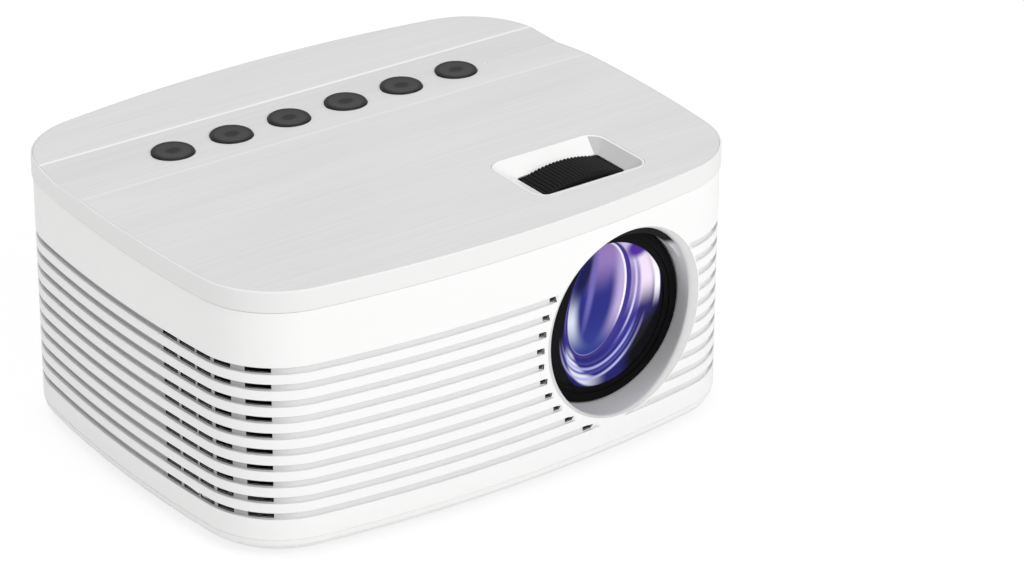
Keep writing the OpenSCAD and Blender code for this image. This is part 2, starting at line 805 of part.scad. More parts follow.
module lens_barrel() {
    flange = engine_half - 0.4;
    color(black) difference() {
        union() {
            on_lens(barrel_y) cylinder(r = barrel_r, h = barrel_l);
            on_lens(collar_y) cylinder(r = barrel_r + 0.9, h = 1.5);
            box([lens_x - 31, engine_y - 3, lens_z - flange], [lens_x + 31, engine_y, lens_z + flange]);
        }
        on_lens(barrel_y - 1) cylinder(r = barrel_in, h = barrel_l + 2);
        // keyway of the pin
        box([lens_x - pin_r - 0.1, pin_y - pin_r - lens_travel - 0.3, lens_z - barrel_r - 3],
            [lens_x + pin_r + 0.1, pin_y + pin_r + lens_travel + 0.3, lens_z - 20]);
        // groove of the clip
        on_lens(barrel_y + 0.7) tube(barrel_r + 1, barrel_r - 0.7, 1.2);
        for (sx = [-1, 1], sz = [-1, 1])
            along_y(lens_x + sx * 27, engine_y - 4, lens_z + sz * (flange - 3)) cylinder(r = 1.5, h = 6);
    }
}

module focus_clip() {
    color(steel) difference() {
        on_lens(barrel_y + 0.8) tube(33, barrel_r - 0.6, 1);
        box([lens_x - 4, barrel_y - 1, lens_z + 20], [lens_x + 4, barrel_y + 4, lens_z + 40]);
    }
}

module focus_ring() {
    groove_steps = 12;
    color(black) difference() {
        union() {
            on_lens(hub_y) cylinder(r = hub_r, h = hub_rear - hub_y);
            // toothed sector
            intersection() {
                union() {
                    on_lens(wheel_y) tube(wheel_r - 0.9, wheel_r - 3.4, wheel_w);
                    on_lens(wheel_y + wheel_w / 2 - 1.5) cylinder(r = wheel_r - 2, h = 3);
                    for (a = [-wheel_half + 1.3 : tooth_step : wheel_half - 1.3])
                        translate([lens_x, wheel_y, lens_z]) rotate([0, a, 0])
                            translate([-0.65, 0, wheel_r - 1.5]) cube([1.3, wheel_w, 1.5]);
                }
                translate([lens_x, wheel_y - 1, lens_z]) rotate([90, 0, 0]) mirror([0, 0, 1])
                    linear_extrude(wheel_w + 2) polygon([
                        [0, 0],
                        100 * [sin(-wheel_half), cos(wheel_half)],
                        100 * [0, 1.6],
                        100 * [sin(wheel_half), cos(wheel_half)]
                    ]);
            }
        }
        on_lens(wheel_y - 5) cylinder(r = barrel_r + turn_gap, h = 40);
        // helical groove of the pin, in steps
        for (k = [-groove_steps : groove_steps])
            translate([lens_x, pin_y - lens_travel * k / groove_steps, lens_z])
                rotate([0, 180 - focus_turn * k / groove_steps, 0])
                    translate([-2.1, -pin_r - 0.35, 20]) cube([4.2, 2 * pin_r + 0.7, hub_r - 1.3 - 20]);
    }
}

// ---------------------------------------------------------------- light engine

// Plan of the engine housing, set in by a distance: a chamber for the picture panel on the
// left, the lens wall in front, and a slanted wall behind the mirror
module engine_plan(inset) {
    slant = lens_x + mirror_y + (mirror_t + seat_gap + engine_wall - inset) * sqrt(2);
    x0 = engine_x0 + inset;
    x1 = engine_x1 - inset;
    xs = lcd_x + 10 - inset;
    y0 = mirror_y - lcd_room - engine_wall + inset;
    ys = engine_y + inset;
    y1 = mirror_y + lcd_room + engine_wall - inset;
    polygon([[x0, y0], [xs, y0], [xs, ys], [x1, ys], [x1, slant - x1], [slant - y1, y1], [x0, y1]]);
}

module engine_tub() {
    color(black) difference() {
        translate([0, 0, plate_z + plate_t])
            linear_extrude(engine_top - plate_z - plate_t) engine_plan(0);
        translate([0, 0, engine_floor]) linear_extrude(3 * engine_half) engine_plan(engine_wall);
        on_lens(engine_y - 1) cylinder(r = 26, h = engine_wall + 2);
        box([engine_x0 - 1, led_y - 44, lens_z - 25.5], [engine_x0 + engine_wall + 1, led_y + 44, lens_z + 25.5]);
    }
}

module engine_lid() {
    color(black) translate([0, 0, engine_top]) linear_extrude(engine_wall) engine_plan(0);
}

module mirror_plate() {
    color([0.85, 0.87, 0.9]) translate([lens_x, mirror_y, engine_floor + seat_gap]) rotate([0, 0, -45])
        translate([-mirror_half, 0, 0]) cube([2 * mirror_half, mirror_t, 2 * engine_half - 2 * seat_gap]);
}

module lcd_panel() {
    color([0.15, 0.15, 0.2])
        box([lcd_x - 1.6, led_y - lcd_l / 2, engine_floor + seat_gap],
            [lcd_x + 1.6, led_y + lcd_l / 2, engine_top - seat_gap]);
}

module fresnel_lenses() {
    color([0.8, 0.85, 0.9]) for (x = [lcd_x - 9, lcd_x + 5])
        box([x, led_y - lcd_l / 2, engine_floor + seat_gap], [x + 1.8, led_y + lcd_l / 2, engine_top - seat_gap]);
}

module light_tunnel() {
    small = 40;
    color([0.8, 0.8, 0.8]) difference() {
        hull() {
            box([led_x + board_t, led_y - small / 2, lens_z - small / 2],
                [led_x + board_t + 6, led_y + small / 2, lens_z + small / 2]);
            box([engine_x0 - 0.5, led_y - 46, lens_z - 28], [engine_x0, led_y + 46, lens_z + 28]);
        }
        hull() {
            box([led_x + board_t - 1, led_y - small / 2 + 1.5, lens_z - small / 2 + 1.5],
                [led_x + board_t + 6, led_y + small / 2 - 1.5, lens_z + small / 2 - 1.5]);
            box([engine_x0, led_y - 44.5, lens_z - 26.5], [engine_x0 + 1, led_y + 44.5, lens_z + 26.5]);
        }
    }
}

module condenser_lens() {
    color([0.8, 0.85, 0.9]) along_x(led_x + board_t + 3, led_y, lens_z) rotate_extrude() polygon(concat(
        [[0, 0], [18.8, 0], [18.8, 2], [18, 2]],
        [for (k = [9 : -1 : 0]) [1.8 * k, 2 + cap(22, 18) - cap(22, 1.8 * k)]]
    ));
}

module led_board() {
    half = 21;
    color([0.85, 0.85, 0.8]) {
        box([led_x, led_y - half, lens_z - half], [led_x + board_t, led_y + half, lens_z + half]);
        box([led_x + board_t - joint, led_y - 9, lens_z - 9], [led_x + board_t + 1, led_y + 9, lens_z + 9]);
    }
}

module led_heatsink() {
    half = sink_size / 2;
    color(steel) {
        box([led_x - 4, led_y - half, lens_z - 28], [led_x, led_y + half, lens_z + 28]);
        for (i = [0 : 8]) translate([sink_x0, led_y - half + i * (sink_size - 1.4) / 8, lens_z - 28])
            cube([sink_t - 4 + joint, 1.4, 56]);
    }
}

module fan_frame() {
    color(black) {
        difference() {
            box([fan_x0, fan_y - fan_size / 2, fan_z - fan_size / 2], [fan_x0 + fan_t, fan_y + fan_size / 2, fan_z + fan_size / 2]);
            along_x(fan_x0 - 1, fan_y, fan_z) cylinder(r = fan_r, h = fan_t + 2);
            for (sy = [-1, 1], sz = [-1, 1])
                along_x(fan_x0 - 1, fan_y + sy * (fan_size / 2 - 5), fan_z + sz * (fan_size / 2 - 5)) cylinder(r = 2.15, h = fan_t + 2);
        }
        // motor plate with its bearing tube
        along_x(fan_x0, fan_y, fan_z) rotate_extrude() polygon([
            [0, fan_t - 1], [fan_shaft_r + turn_gap, fan_t - 1], [fan_shaft_r + turn_gap, 6],
            [3, 6], [3, fan_t - 2.5], [13, fan_t - 2.5], [13, fan_t], [0, fan_t]
        ]);
        for (a = [45 : 90 : 315]) translate([fan_x0 + fan_t - 2, fan_y, fan_z]) rotate([a, 0, 0])
            translate([0, -1.5, 12]) cube([1.5, 3, fan_r - 11]);
    }
}

module fan_rotor() {
    color([0.15, 0.15, 0.16]) {
        difference() {
            along_x(fan_x0 + 1, fan_y, fan_z) cylinder(r = 13, h = fan_t - 4.5);
            along_x(fan_x0 + 2.2, fan_y, fan_z) cylinder(r = 11.8, h = fan_t);
        }
        along_x(fan_x0 + 2, fan_y, fan_z) cylinder(r = fan_shaft_r, h = fan_t - 4.6);
        for (k = [0 : 6]) translate([fan_x0 + fan_t / 2 - 1.4, fan_y, fan_z]) rotate([k * 360 / 7, 0, 0]) rotate([0, 0, 38])
            translate([-0.6, -7, 12.4]) cube([1.2, 14, fan_r - 13.4]);
    }
}

module speaker() {
    color([0.2, 0.2, 0.2]) {
        difference() {
            along_x(speaker_x + 9.5, speaker_y, speaker_z) cylinder(r = speaker_r, h = 2.5);
            along_x(speaker_x + 8, speaker_y, speaker_z) cylinder(r = speaker_r - 3, h = 6);
        }
        difference() {
            along_x(speaker_x + 4, speaker_y, speaker_z) cylinder(r1 = 11, r2 = speaker_r - 2.5, h = 6);
            along_x(speaker_x + 4.99, speaker_y, speaker_z) cylinder(r1 = 10, r2 = speaker_r - 3.5, h = 5.1);
        }
        along_x(speaker_x - 2, speaker_y, speaker_z) cylinder(r = 11, h = 6.5);
        // foot that stands on the steel plate
        box([speaker_x + 9.5, speaker_y - 8, plate_z + plate_t], [speaker_x + 12, speaker_y + 8, speaker_z - speaker_r + 2.5]);
    }
}

// ---------------------------------------------------------------- boards and sockets

module main_board() {
    color(board_green) box([-66, main_y, plate_z + plate_t], [66, main_y + board_t, engine_top + 2]);
    // heat spreader, capacitors, receiver and plug for the ribbon on the board
    color(black) box([-18, main_y + board_t - joint, 64], [2, main_y + board_t + 3, 80]);
    color(black) for (x = [18, 28, 38]) along_y(x, main_y + board_t - joint, 72) cylinder(r = 3.6, h = 7);
    color(black) box([ir_x - 3, main_y + board_t - joint, socket_z - 3.5], [ir_x + 3, main_y + board_t + 3.5, socket_z + 3.5]);
    color(white) box([-52, main_y + board_t - joint, 27], [-28, main_y + board_t + 4, 31]);
}

// Open metal box with a plastic tongue, mouth to the rear
module plug_socket(x, w, h, tongue_w, tongue_t) {
    l = socket_face - main_y - board_t;
    color("silver") difference() {
        box([x - w / 2, main_y + board_t, socket_z - h / 2], [x + w / 2, socket_face, socket_z + h / 2]);
        box([x - w / 2 + 0.4, main_y + board_t + 1.5, socket_z - h / 2 + 0.4], [x + w / 2 - 0.4, socket_face + 1, socket_z + h / 2 - 0.4]);
    }
    color(black) box([x - tongue_w / 2, main_y + board_t + 1, socket_z - tongue_t / 2], [x + tongue_w / 2, socket_face - 1, socket_z + tongue_t / 2]);
}

module hdmi_socket() { plug_socket(hdmi_x, 15, 5.6, 11.6, 1.2); }
module usb_socket() { plug_socket(usb_x, 13.2, 5.8, 11, 1.8); }

module audio_sockets() {
    color(black) for (x = audio_x) difference() {
        union() {
            box([x - 4, main_y + board_t, socket_z - 4], [x + 4, socket_face - 2.4, socket_z + 4]);
            along_y(x, main_y + board_t + 2, socket_z) cylinder(r = 2.9, h = socket_face - main_y - board_t - 2);
        }
        along_y(x, main_y + board_t + 1, socket_z) cylinder(r = audio_r, h = 30);
    }
}

module dc_socket() {
    color(black) {
        difference() {
            union() {
                box([dc_x - 4.6, main_y + board_t, socket_z - 5.4], [dc_x + 4.6, socket_face - 3.6, socket_z + 5.4]);
                along_y(dc_x, main_y + board_t + 2, socket_z) cylinder(r = 3.8, h = socket_face - main_y - board_t - 2);
            }
            along_y(dc_x, main_y + board_t + 1.5, socket_z) cylinder(r = 3, h = 30);
        }
        along_y(dc_x, main_y + board_t + 1, socket_z) cylinder(r = 1, h = socket_face - main_y - board_t - 2);
    }
}

// ---------------------------------------------------------------- disc drive

module drive_pan() {
    half = drive_w / 2;
    color(steel) difference() {
        box([-half, drive_front, drive_z], [half, drive_rear, drive_top - sheet]);
        box([-half + sheet, drive_front + sheet, drive_z + sheet], [half - sheet, drive_rear + 1, drive_top]);
        for (p = plate_posts, sx = [-1, 1])
            translate([sx * (half - 9), p[1], drive_z - 1]) cylinder(r = 1.5, h = 3);
    }
}

module drive_lid() {
    color(steel) box([-drive_w / 2, drive_front, drive_top - sheet], [drive_w / 2, drive_rear, drive_top]);
}

module mid_plate() {
    color(steel) difference() {
        intersection() {
            block(plate_z, plate_z + plate_t, wall + 1);
            box([-case_w, plate_front, 0], [case_w, main_y + board_t + 1.5, case_h]);
        }
        four(post) translate([0, 0, plate_z - 1]) cylinder(r = post_r + 1, h = 4);
        for (sx = [-1, 1]) translate([sx * (post[0] + 4), post[1] + 10, plate_z - 1]) cylinder(r = 12, h = 4);
        for (p = plate_posts, sx = [-1, 1]) translate([sx * p[0], p[1], plate_z - 1]) cylinder(r = 1.6, h = 4);
    }
}

module disc_tray() {
    color(black) difference() {
        box([-tray_half, tray_front, tray_z], [tray_half, bezel_y, tray_top]);
        translate([0, disc_y, disc_floor]) cylinder(r = disc_r, h = 10, $fn = 180);
        translate([0, disc_y, tray_z - 1]) cylinder(r = 14.5, h = 20);
        box([screw_x - 5.2, well_front, tray_z - 1], [rod_x + 4, disc_y, tray_top + 1]);
        // room for the rail on each side
        for (sx = [-1, 1]) translate([sx * tray_half, 0, 0])
            box([-1, tray_front - 1, tray_z + 2], [1, bezel_y - 3, tray_z + 5.4]);
    }
    // steel traverse under the tray with the seats of rods and motors
    color(steel) difference() {
        union() {
            box([screw_x - 8, well_front - 2, traverse_z], [rod_x + 7, disc_y + 17, tray_z + joint]);
            for (sx = [-1, 1], y = [well_front, rod_end])
                translate([sx * rod_x - 2.2, y, traverse_z]) cube([4.4, seat_l, rod_z - traverse_z + 2.2]);
            translate([screw_x - 2.2, well_front, traverse_z]) cube([4.4, seat_l, rod_z - traverse_z + 2.2]);
            // motor of the lead screw
            along_y(screw_x, rod_end - 1, rod_z) cylinder(r = sled_half + 0.2, h = 10);
        }
        for (sx = [-1, 1]) along_y(sx * rod_x, well_front - 5, rod_z) cylinder(r = rod_r + 0.05, h = 90);
        along_y(screw_x, well_front - 5, rod_z) cylinder(r = screw_r_out + turn_gap, h = rod_end - well_front + 9);
    }
}

module tray_bezel() {
    color(white) difference() {
        intersection() {
            box([-bezel_l / 2, bezel_y, bezel_z], [bezel_l / 2, case_d, bezel_z + bezel_h]);
            block(base_z, high_z);
        }
        translate([eject_x, bezel_y - 1, bezel_z + bezel_h / 2]) rotate([-90, 0, 0])
            linear_extrude(20) soft_rect(10.6, 3.6, 1.8);
        along_y(eject_x - 12, bezel_y - 1, bezel_z + bezel_h / 2) cylinder(r = 0.6, h = 20);
    }
}

module eject_button() {
    face = rear_y(eject_x + 5) + 0.1;
    color([0.8, 0.8, 0.8]) translate([eject_x, bezel_y + 1, bezel_z + bezel_h / 2]) rotate([-90, 0, 0])
        linear_extrude(face - bezel_y - 1) soft_rect(10, 3, 1.5);
}

module tray_rail(side) {
    x = side * (tray_half + 1.35);
    color(steel) box([x - 0.65, tray_front + 4, tray_z + 2.4], [x + 0.65, tray_front + 4 + rail_l, tray_z + 5]);
}
module tray_rail_left() { tray_rail(-1); }
module tray_rail_right() { tray_rail(1); }

module spindle_motor() {
    color(steel) translate([0, disc_y, tray_z + joint]) difference() {
        union() {
            cylinder(r = 12, h = 1.8);
            cylinder(r = 3, h = 3.4);
        }
        translate([0, 0, 0.6]) cylinder(r = spindle_r + turn_gap, h = 5);
    }
}

module turntable() {
    z = tray_z + 2.1;
    color(black) translate([0, disc_y, 0]) difference() {
        union() {
            translate([0, 0, z]) cylinder(r = 12.5, h = disc_floor + 0.4 - z);
            translate([0, 0, z]) cylinder(r = 7.3, h = tray_top - z);
        }
        translate([0, 0, z - 1]) cylinder(r = 3.4, h = 2.6);
    }
    color(steel) translate([0, disc_y, tray_z + 0.8]) cylinder(r = spindle_r, h = 5);
}

module guide_rods() {
    color(steel) for (sx = [-1, 1])
        along_y(sx * rod_x, well_front + 0.2, rod_z) cylinder(r = rod_r, h = rod_end + 2 - well_front);
}

module laser_sled() {
    color(black) difference() {
        union() {
            box([-rod_x - 3, sled_y - sled_l / 2, rod_z - sled_half], [rod_x + 3, sled_y + sled_l / 2, rod_z + sled_half]);
            box([screw_x - 2.6, sled_y - 3, rod_z - sled_half], [-rod_x - 2, sled_y + 3, rod_z + sled_half]);
            translate([0, sled_y, rod_z]) cylinder(r = 4, h = sled_half + 0.4);
        }
        for (sx = [-1, 1]) along_y(sx * rod_x, sled_y - 20, rod_z) cylinder(r = rod_r + turn_gap, h = 40);
        along_y(screw_x, sled_y - 20, rod_z) cylinder(r = screw_r_out + turn_gap, h = 40);
        translate([0, sled_y, rod_z]) cylinder(r = 2.4, h = 10);
    }
    color(glass) translate([0, sled_y, rod_z - joint]) cylinder(r = 2.4, h = sled_half + 0.5);
}

module lead_screw() {
    color(steel) along_y(screw_x, well_front + 0.2, rod_z)
        cylinder(r = screw_r_out, h = rod_end - well_front + 3);
}

base_cover();
body_shell();
top_cover();
top_panel();
lens_bezel();
socket_panel();
ir_window();
status_light();
case_screws();
cover_screws();
rubber_feet();
tilt_foot();
tripod_insert();
button_1();
button_2();
button_3();
button_4();
button_5();
button_6();
button_board();
lens_cell();
front_lens();
middle_lens();
rear_lens();
lens_retainer();
lens_spacer();
focus_pin();
lens_barrel();
focus_ring();
focus_clip();
engine_tub();
engine_lid();
mirror_plate();
lcd_panel();
fresnel_lenses();
light_tunnel();
condenser_lens();
led_board();
led_heatsink();
fan_frame();
fan_rotor();
speaker();
main_board();
hdmi_socket();
usb_socket();
audio_sockets();
dc_socket();
drive_pan();
drive_lid();
mid_plate();
disc_tray();
tray_bezel();
eject_button();
tray_rail_left();
tray_rail_right();
spindle_motor();
turntable();
guide_rods();
laser_sled();
lead_screw();
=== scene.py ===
"""Table projector with a tray disc player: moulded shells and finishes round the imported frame."""
import math

import bpy
import numpy as np
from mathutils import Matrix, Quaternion, Vector
from mathutils.geometry import delaunay_2d_cdt


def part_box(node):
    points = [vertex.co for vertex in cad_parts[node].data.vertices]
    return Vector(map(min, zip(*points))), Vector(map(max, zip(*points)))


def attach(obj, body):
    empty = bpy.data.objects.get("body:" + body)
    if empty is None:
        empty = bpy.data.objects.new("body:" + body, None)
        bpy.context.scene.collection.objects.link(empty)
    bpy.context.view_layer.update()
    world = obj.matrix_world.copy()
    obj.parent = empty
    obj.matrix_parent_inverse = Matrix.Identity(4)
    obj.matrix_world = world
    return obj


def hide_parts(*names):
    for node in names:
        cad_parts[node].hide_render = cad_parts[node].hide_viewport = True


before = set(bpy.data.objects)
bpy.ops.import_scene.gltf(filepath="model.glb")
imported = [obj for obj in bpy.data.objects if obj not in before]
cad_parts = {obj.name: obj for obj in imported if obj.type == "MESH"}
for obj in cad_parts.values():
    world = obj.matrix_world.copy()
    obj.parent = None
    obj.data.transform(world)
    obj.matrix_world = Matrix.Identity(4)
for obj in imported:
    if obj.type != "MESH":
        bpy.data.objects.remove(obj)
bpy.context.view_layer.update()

# ---------------------------------------------------------------- bottom cover and feet
# White ABS tray, injection moulded with a rolled lower edge. Four screws pull it up against the
# case wall. Rubber feet are glued into its round pockets, and a brass insert takes a tripod.
MM = 0.001
WHITE = (0.86, 0.86, 0.855)


def finish(name, colour, rough, metal=0.0, tone=0.02, grain=1800.0, stretch=(1, 1, 1), height=0.004,
           **sockets):
    """Material of one finish. A soft noise of a few centimetres drifts the colour by the tone, and a fine
    noise of the grain's frequency per metre, stretched along the axes, moves the roughness and lifts the
    surface by the height in mm."""
    material = bpy.data.materials.new(name)
    material.use_nodes = True
    nodes, links = material.node_tree.nodes, material.node_tree.links
    shader = nodes["Principled BSDF"]
    shader.inputs["Metallic"].default_value = metal
    for socket, value in sockets.items():
        shader.inputs[socket.replace("_", " ")].default_value = value
    place = nodes.new("ShaderNodeTexCoord")
    turn = nodes.new("ShaderNodeMapping")
    turn.inputs["Scale"].default_value = stretch
    links.new(place.outputs["Object"], turn.inputs["Vector"])
    drift = nodes.new("ShaderNodeTexNoise")
    drift.inputs["Scale"].default_value = 28.0
    drift.inputs["Detail"].default_value = 3.0
    links.new(place.outputs["Object"], drift.inputs["Vector"])
    blend = nodes.new("ShaderNodeMix")
    blend.data_type = "RGBA"
    blend.inputs[6].default_value = (*[c * (1 - tone) for c in colour], 1)
    blend.inputs[7].default_value = (*[min(1.0, c * (1 + tone)) for c in colour], 1)
    links.new(drift.outputs["Fac"], blend.inputs[0])
    links.new(blend.outputs[2], shader.inputs["Base Color"])
    fine = nodes.new("ShaderNodeTexNoise")
    fine.inputs["Scale"].default_value = grain
    fine.inputs["Detail"].default_value = 2.0
    links.new(turn.outputs["Vector"], fine.inputs["Vector"])
    spread = nodes.new("ShaderNodeMapRange")
    spread.inputs["To Min"].default_value = max(0.02, rough - 0.06)
    spread.inputs["To Max"].default_value = min(1.0, rough + 0.06)
    links.new(fine.outputs["Fac"], spread.inputs["Value"])
    links.new(spread.outputs["Result"], shader.inputs["Roughness"])
    bump = nodes.new("ShaderNodeBump")
    bump.inputs["Strength"].default_value = 0.35
    bump.inputs["Distance"].default_value = height * MM
    links.new(fine.outputs["Fac"], bump.inputs["Height"])
    links.new(bump.outputs["Normal"], shader.inputs["Normal"])
    return material


def dress(material, *names):
    """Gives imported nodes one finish."""
    for name in names:
        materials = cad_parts[name].data.materials
        materials.clear()
        materials.append(material)


white_abs = finish("white_abs", WHITE, 0.42, tone=0.006, height=0.006, Specular_IOR_Level=0.4)
black_rubber = finish("black_rubber", (0.016, 0.016, 0.017), 0.75, grain=3000.0, height=0.03)
brass = finish("brass", (0.72, 0.52, 0.22), 0.28, metal=1.0, stretch=(1, 1, 9), height=0.006)
zinc = finish("zinc", (0.6, 0.61, 0.63), 0.32, metal=1.0, tone=0.05, stretch=(0.06, 1, 1), height=0.004)
dress(white_abs, "base_cover")
dress(black_rubber, "rubber_feet", "tilt_foot")
dress(brass, "tripod_insert")
dress(zinc, "case_screws", "cover_screws")

# ---------------------------------------------------------------- disc drive
# Slim tray drive: a folded steel pan and lid, a black tray with a recess for the disc, and under
# it the spindle motor, two polished rods, the laser sled and its screw.
black_abs = finish("black_abs", (0.017, 0.017, 0.018), 0.5, tone=0.08, grain=2600.0, height=0.02)
steel = finish("steel", (0.62, 0.63, 0.64), 0.22, metal=1.0, stretch=(1, 0.05, 1), height=0.002)
pressed_steel = finish("pressed_steel", (0.56, 0.57, 0.58), 0.38, metal=1.0, tone=0.06, grain=900.0)
dress(pressed_steel, "drive_pan", "drive_lid")
dress(black_abs, "disc_tray", "turntable", "laser_sled")
dress(steel, "tray_rail_left", "tray_rail_right", "spindle_motor", "guide_rods", "lead_screw")

# ---------------------------------------------------------------- plate and light engine
# A pressed steel plate over the drive carries the black engine housing. The lamp board sits on
# an extruded heat sink beside the fan and shines through the tunnel, panel and mirror.
aluminium = finish("aluminium", (0.74, 0.75, 0.76), 0.34, metal=1.0, stretch=(1, 1, 0.04), height=0.006)
reflector = finish("reflector", (0.8, 0.8, 0.8), 0.18, metal=1.0, height=0.002)
mirror_silver = finish("mirror_silver", (0.9, 0.91, 0.92), 0.03, metal=1.0, tone=0.004, height=0.0002)
clear_optics = finish("clear_optics", (0.86, 0.9, 0.93), 0.08, tone=0.01, height=0.0004, Alpha=0.35)
dress(pressed_steel, "mid_plate")
dress(black_abs, "engine_tub", "engine_lid", "fan_frame", "fan_rotor", "speaker")
dress(aluminium, "led_board", "led_heatsink")
dress(reflector, "light_tunnel")
dress(mirror_silver, "mirror_plate")
dress(clear_optics, "lcd_panel", "fresnel_lenses", "condenser_lens")

# ---------------------------------------------------------------- boards and sockets
# Green boards with soldered parts. The sockets stand on the main board and reach the holes of
# the black socket panel in the rear wall.
board_green = finish("board_green", (0.03, 0.16, 0.07), 0.35, tone=0.12, grain=700.0, height=0.02)
ir_red = finish("ir_red", (0.05, 0.004, 0.008), 0.08, height=0.0004)
dress(board_green, "main_board", "button_board")
dress(zinc, "hdmi_socket", "usb_socket")
dress(black_abs, "audio_sockets", "dc_socket", "socket_panel")
dress(ir_red, "ir_window")

# ---------------------------------------------------------------- lens and focus
# Matt black anodised tube with three glass elements. A pin joins it to the toothed focus ring,
# whose top is the wheel in the window of the case.
anodised = finish("anodised", (0.004, 0.004, 0.0045), 0.35, grain=2400.0, Specular_IOR_Level=0.05)
glass = finish("glass", (0.03, 0.03, 0.12), 0.05, height=0.0002, Coat_Weight=1.0)
wheel_black = finish("wheel_black", (0.006, 0.006, 0.0065), 0.55, tone=0.1, grain=2600.0, height=0.02,
                     Specular_IOR_Level=0.15)
dress(anodised, "lens_cell", "lens_retainer", "lens_spacer", "lens_barrel")
dress(zinc, "focus_clip", "focus_pin")
dress(glass, "middle_lens", "rear_lens")

# ---------------------------------------------------------------- case wall
# One white moulded wall round the case, bowed on all four sides, with ten rows of slots. They are
# blind grooves but for the dashes at the corners, the long openings on the right side, and a short
# one where each groove ends at the left of the lens. The bottom cover's screws hold it.
HALF_W = 110 * MM
HALF_D = 87.4 * MM
FRONT_BOW = 12.2 * MM
SIDE_BOW = 7.6 * MM
CORNER_R = 32 * MM
WALL = 2.4 * MM
WALL_LOW = 7.5 * MM
WALL_HIGH = 94.8 * MM
LENS_X = 45.2 * MM
LENS_Z = 52 * MM


def bow_radius(half, bow):
    """Radius of a bow: the half chord squared and the bow squared, over twice the bow."""
    return (half * half + bow * bow) / (2 * bow)


FRONT_R = bow_radius(HALF_W, FRONT_BOW)
SIDE_R = bow_radius(HALF_D, SIDE_BOW)
FRONT_C = np.array([0, FRONT_R - HALF_D])
SIDE_C = np.array([HALF_W - SIDE_R, 0])
gap = SIDE_C - FRONT_C
span = np.linalg.norm(gap)
along = ((FRONT_R - CORNER_R) ** 2 - (SIDE_R - CORNER_R) ** 2 + span ** 2) / (2 * span)
across = math.sqrt((FRONT_R - CORNER_R) ** 2 - along ** 2)
CORNER = FRONT_C + along * gap / span + across * np.array([-gap[1], gap[0]]) / span
front_end = math.atan2(CORNER[1] - FRONT_C[1], CORNER[0])
side_end = math.atan2(CORNER[1], CORNER[0] - SIDE_C[0])

# The nine arcs of the plan from the middle of the front round to the right and back to it
flip_x, flip_y = np.array([-1, 1]), np.array([1, -1])
ARC_C = np.array([FRONT_C, CORNER, SIDE_C, CORNER * flip_y, FRONT_C * flip_y, -CORNER, SIDE_C * flip_x,
                  CORNER * flip_x, FRONT_C])
ARC_R = np.array([FRONT_R, CORNER_R, SIDE_R, CORNER_R, FRONT_R, CORNER_R, SIDE_R, CORNER_R, FRONT_R])
ARC_A = np.array([-math.pi / 2, front_end, side_end, -side_end, -front_end, math.pi + front_end,
                  math.pi + side_end, math.pi - side_end, math.pi - front_end, 1.5 * math.pi])
ARC_S = np.concatenate([[0], np.cumsum(ARC_R * np.diff(ARC_A))])
WAY = ARC_S[-1]


def outline(s, inset):
    """Point of the case's plan at the way s round it: the arc's centre and its radius less the inset, at
    the angle that the way has reached."""
    s = np.mod(s, WAY)
    arc = np.clip(np.searchsorted(ARC_S, s, side="right") - 1, 0, 8)
    angle = ARC_A[arc] + (s - ARC_S[arc]) / ARC_R[arc]
    radius = ARC_R[arc] - inset
    return ARC_C[arc, 0] + radius * np.cos(angle), ARC_C[arc, 1] + radius * np.sin(angle)


fine_s = np.linspace(0, WAY / 2, 20001)
fine_y = outline(fine_s[:-1], 0)[1]


def way_to(y):
    """Way round the right half of the plan to the depth y."""
    return np.interp(y, fine_y, fine_s[:-1])


def front_way(x):
    """Way along the front arc to the width x: the radius times the angle whose sine is x over the radius."""
    return FRONT_R * np.arcsin(x / FRONT_R)


def columns(step, marks, dense=(), clear=0.5 * MM):
    """Ways of the columns: one every step, dense stretches, and the marks, kept clear of their neighbours."""
    marks = np.unique(np.round(np.mod(marks, WAY), 8))
    ways = [np.linspace(0, WAY, int(WAY / step), endpoint=False)]
    for start, end, pitch in dense:
        ways[0] = ways[0][(ways[0] < start) | (ways[0] > end)]
        ways.append(np.arange(start, end, pitch))
    ways = np.concatenate(ways)
    away = np.abs(ways[:, None] - marks[None, :]).min(axis=1) > clear
    return np.sort(np.concatenate([ways[away], marks]))


def piece(name, parts, materials, body, replaced, sharp=32.0):
    """Object from parts, each a tuple of points, faces, whether they are shaded smooth, and the number of
    their material. Points that fall on each other become one, and edges bent by more than the sharp angle
    stay crisp."""
    points, faces, smooth, paint, count = [], [], [], [], 0
    for part_points, part_faces, is_smooth, index in parts:
        points.append(np.asarray(part_points, float).reshape(-1, 3))
        faces += (np.asarray(part_faces) + count).tolist()
        smooth += [is_smooth] * len(part_faces)
        paint += np.broadcast_to(index, len(part_faces)).tolist()
        count += len(points[-1])
    points = np.concatenate(points)
    cells = np.round(points * 1e7).astype(np.int64)
    _, first, same = np.unique(cells, axis=0, return_index=True, return_inverse=True)
    same = same.ravel()
    joined = [[int(same[i]) for i in face] for face in faces]
    kept = [k for k, face in enumerate(joined) if len(set(face)) > 2]
    loops = [list(dict.fromkeys(joined[k])) for k in kept]
    used, index = np.unique(np.concatenate([np.array(face) for face in loops]), return_inverse=True)
    ends = np.cumsum([len(face) for face in loops])[:-1]
    mesh = bpy.data.meshes.new(name)
    mesh.from_pydata(points[first][used].tolist(), [], [f.tolist() for f in np.split(index, ends)])
    mesh.polygons.foreach_set("use_smooth", [smooth[k] for k in kept])
    mesh.polygons.foreach_set("material_index", [paint[k] for k in kept])
    mesh.set_sharp_from_angle(angle=math.radians(sharp))
    for material in materials:
        mesh.materials.append(material)
    thing = bpy.data.objects.new(name, mesh)
    bpy.context.scene.collection.objects.link(thing)
    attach(thing, body)
    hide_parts(*replaced)


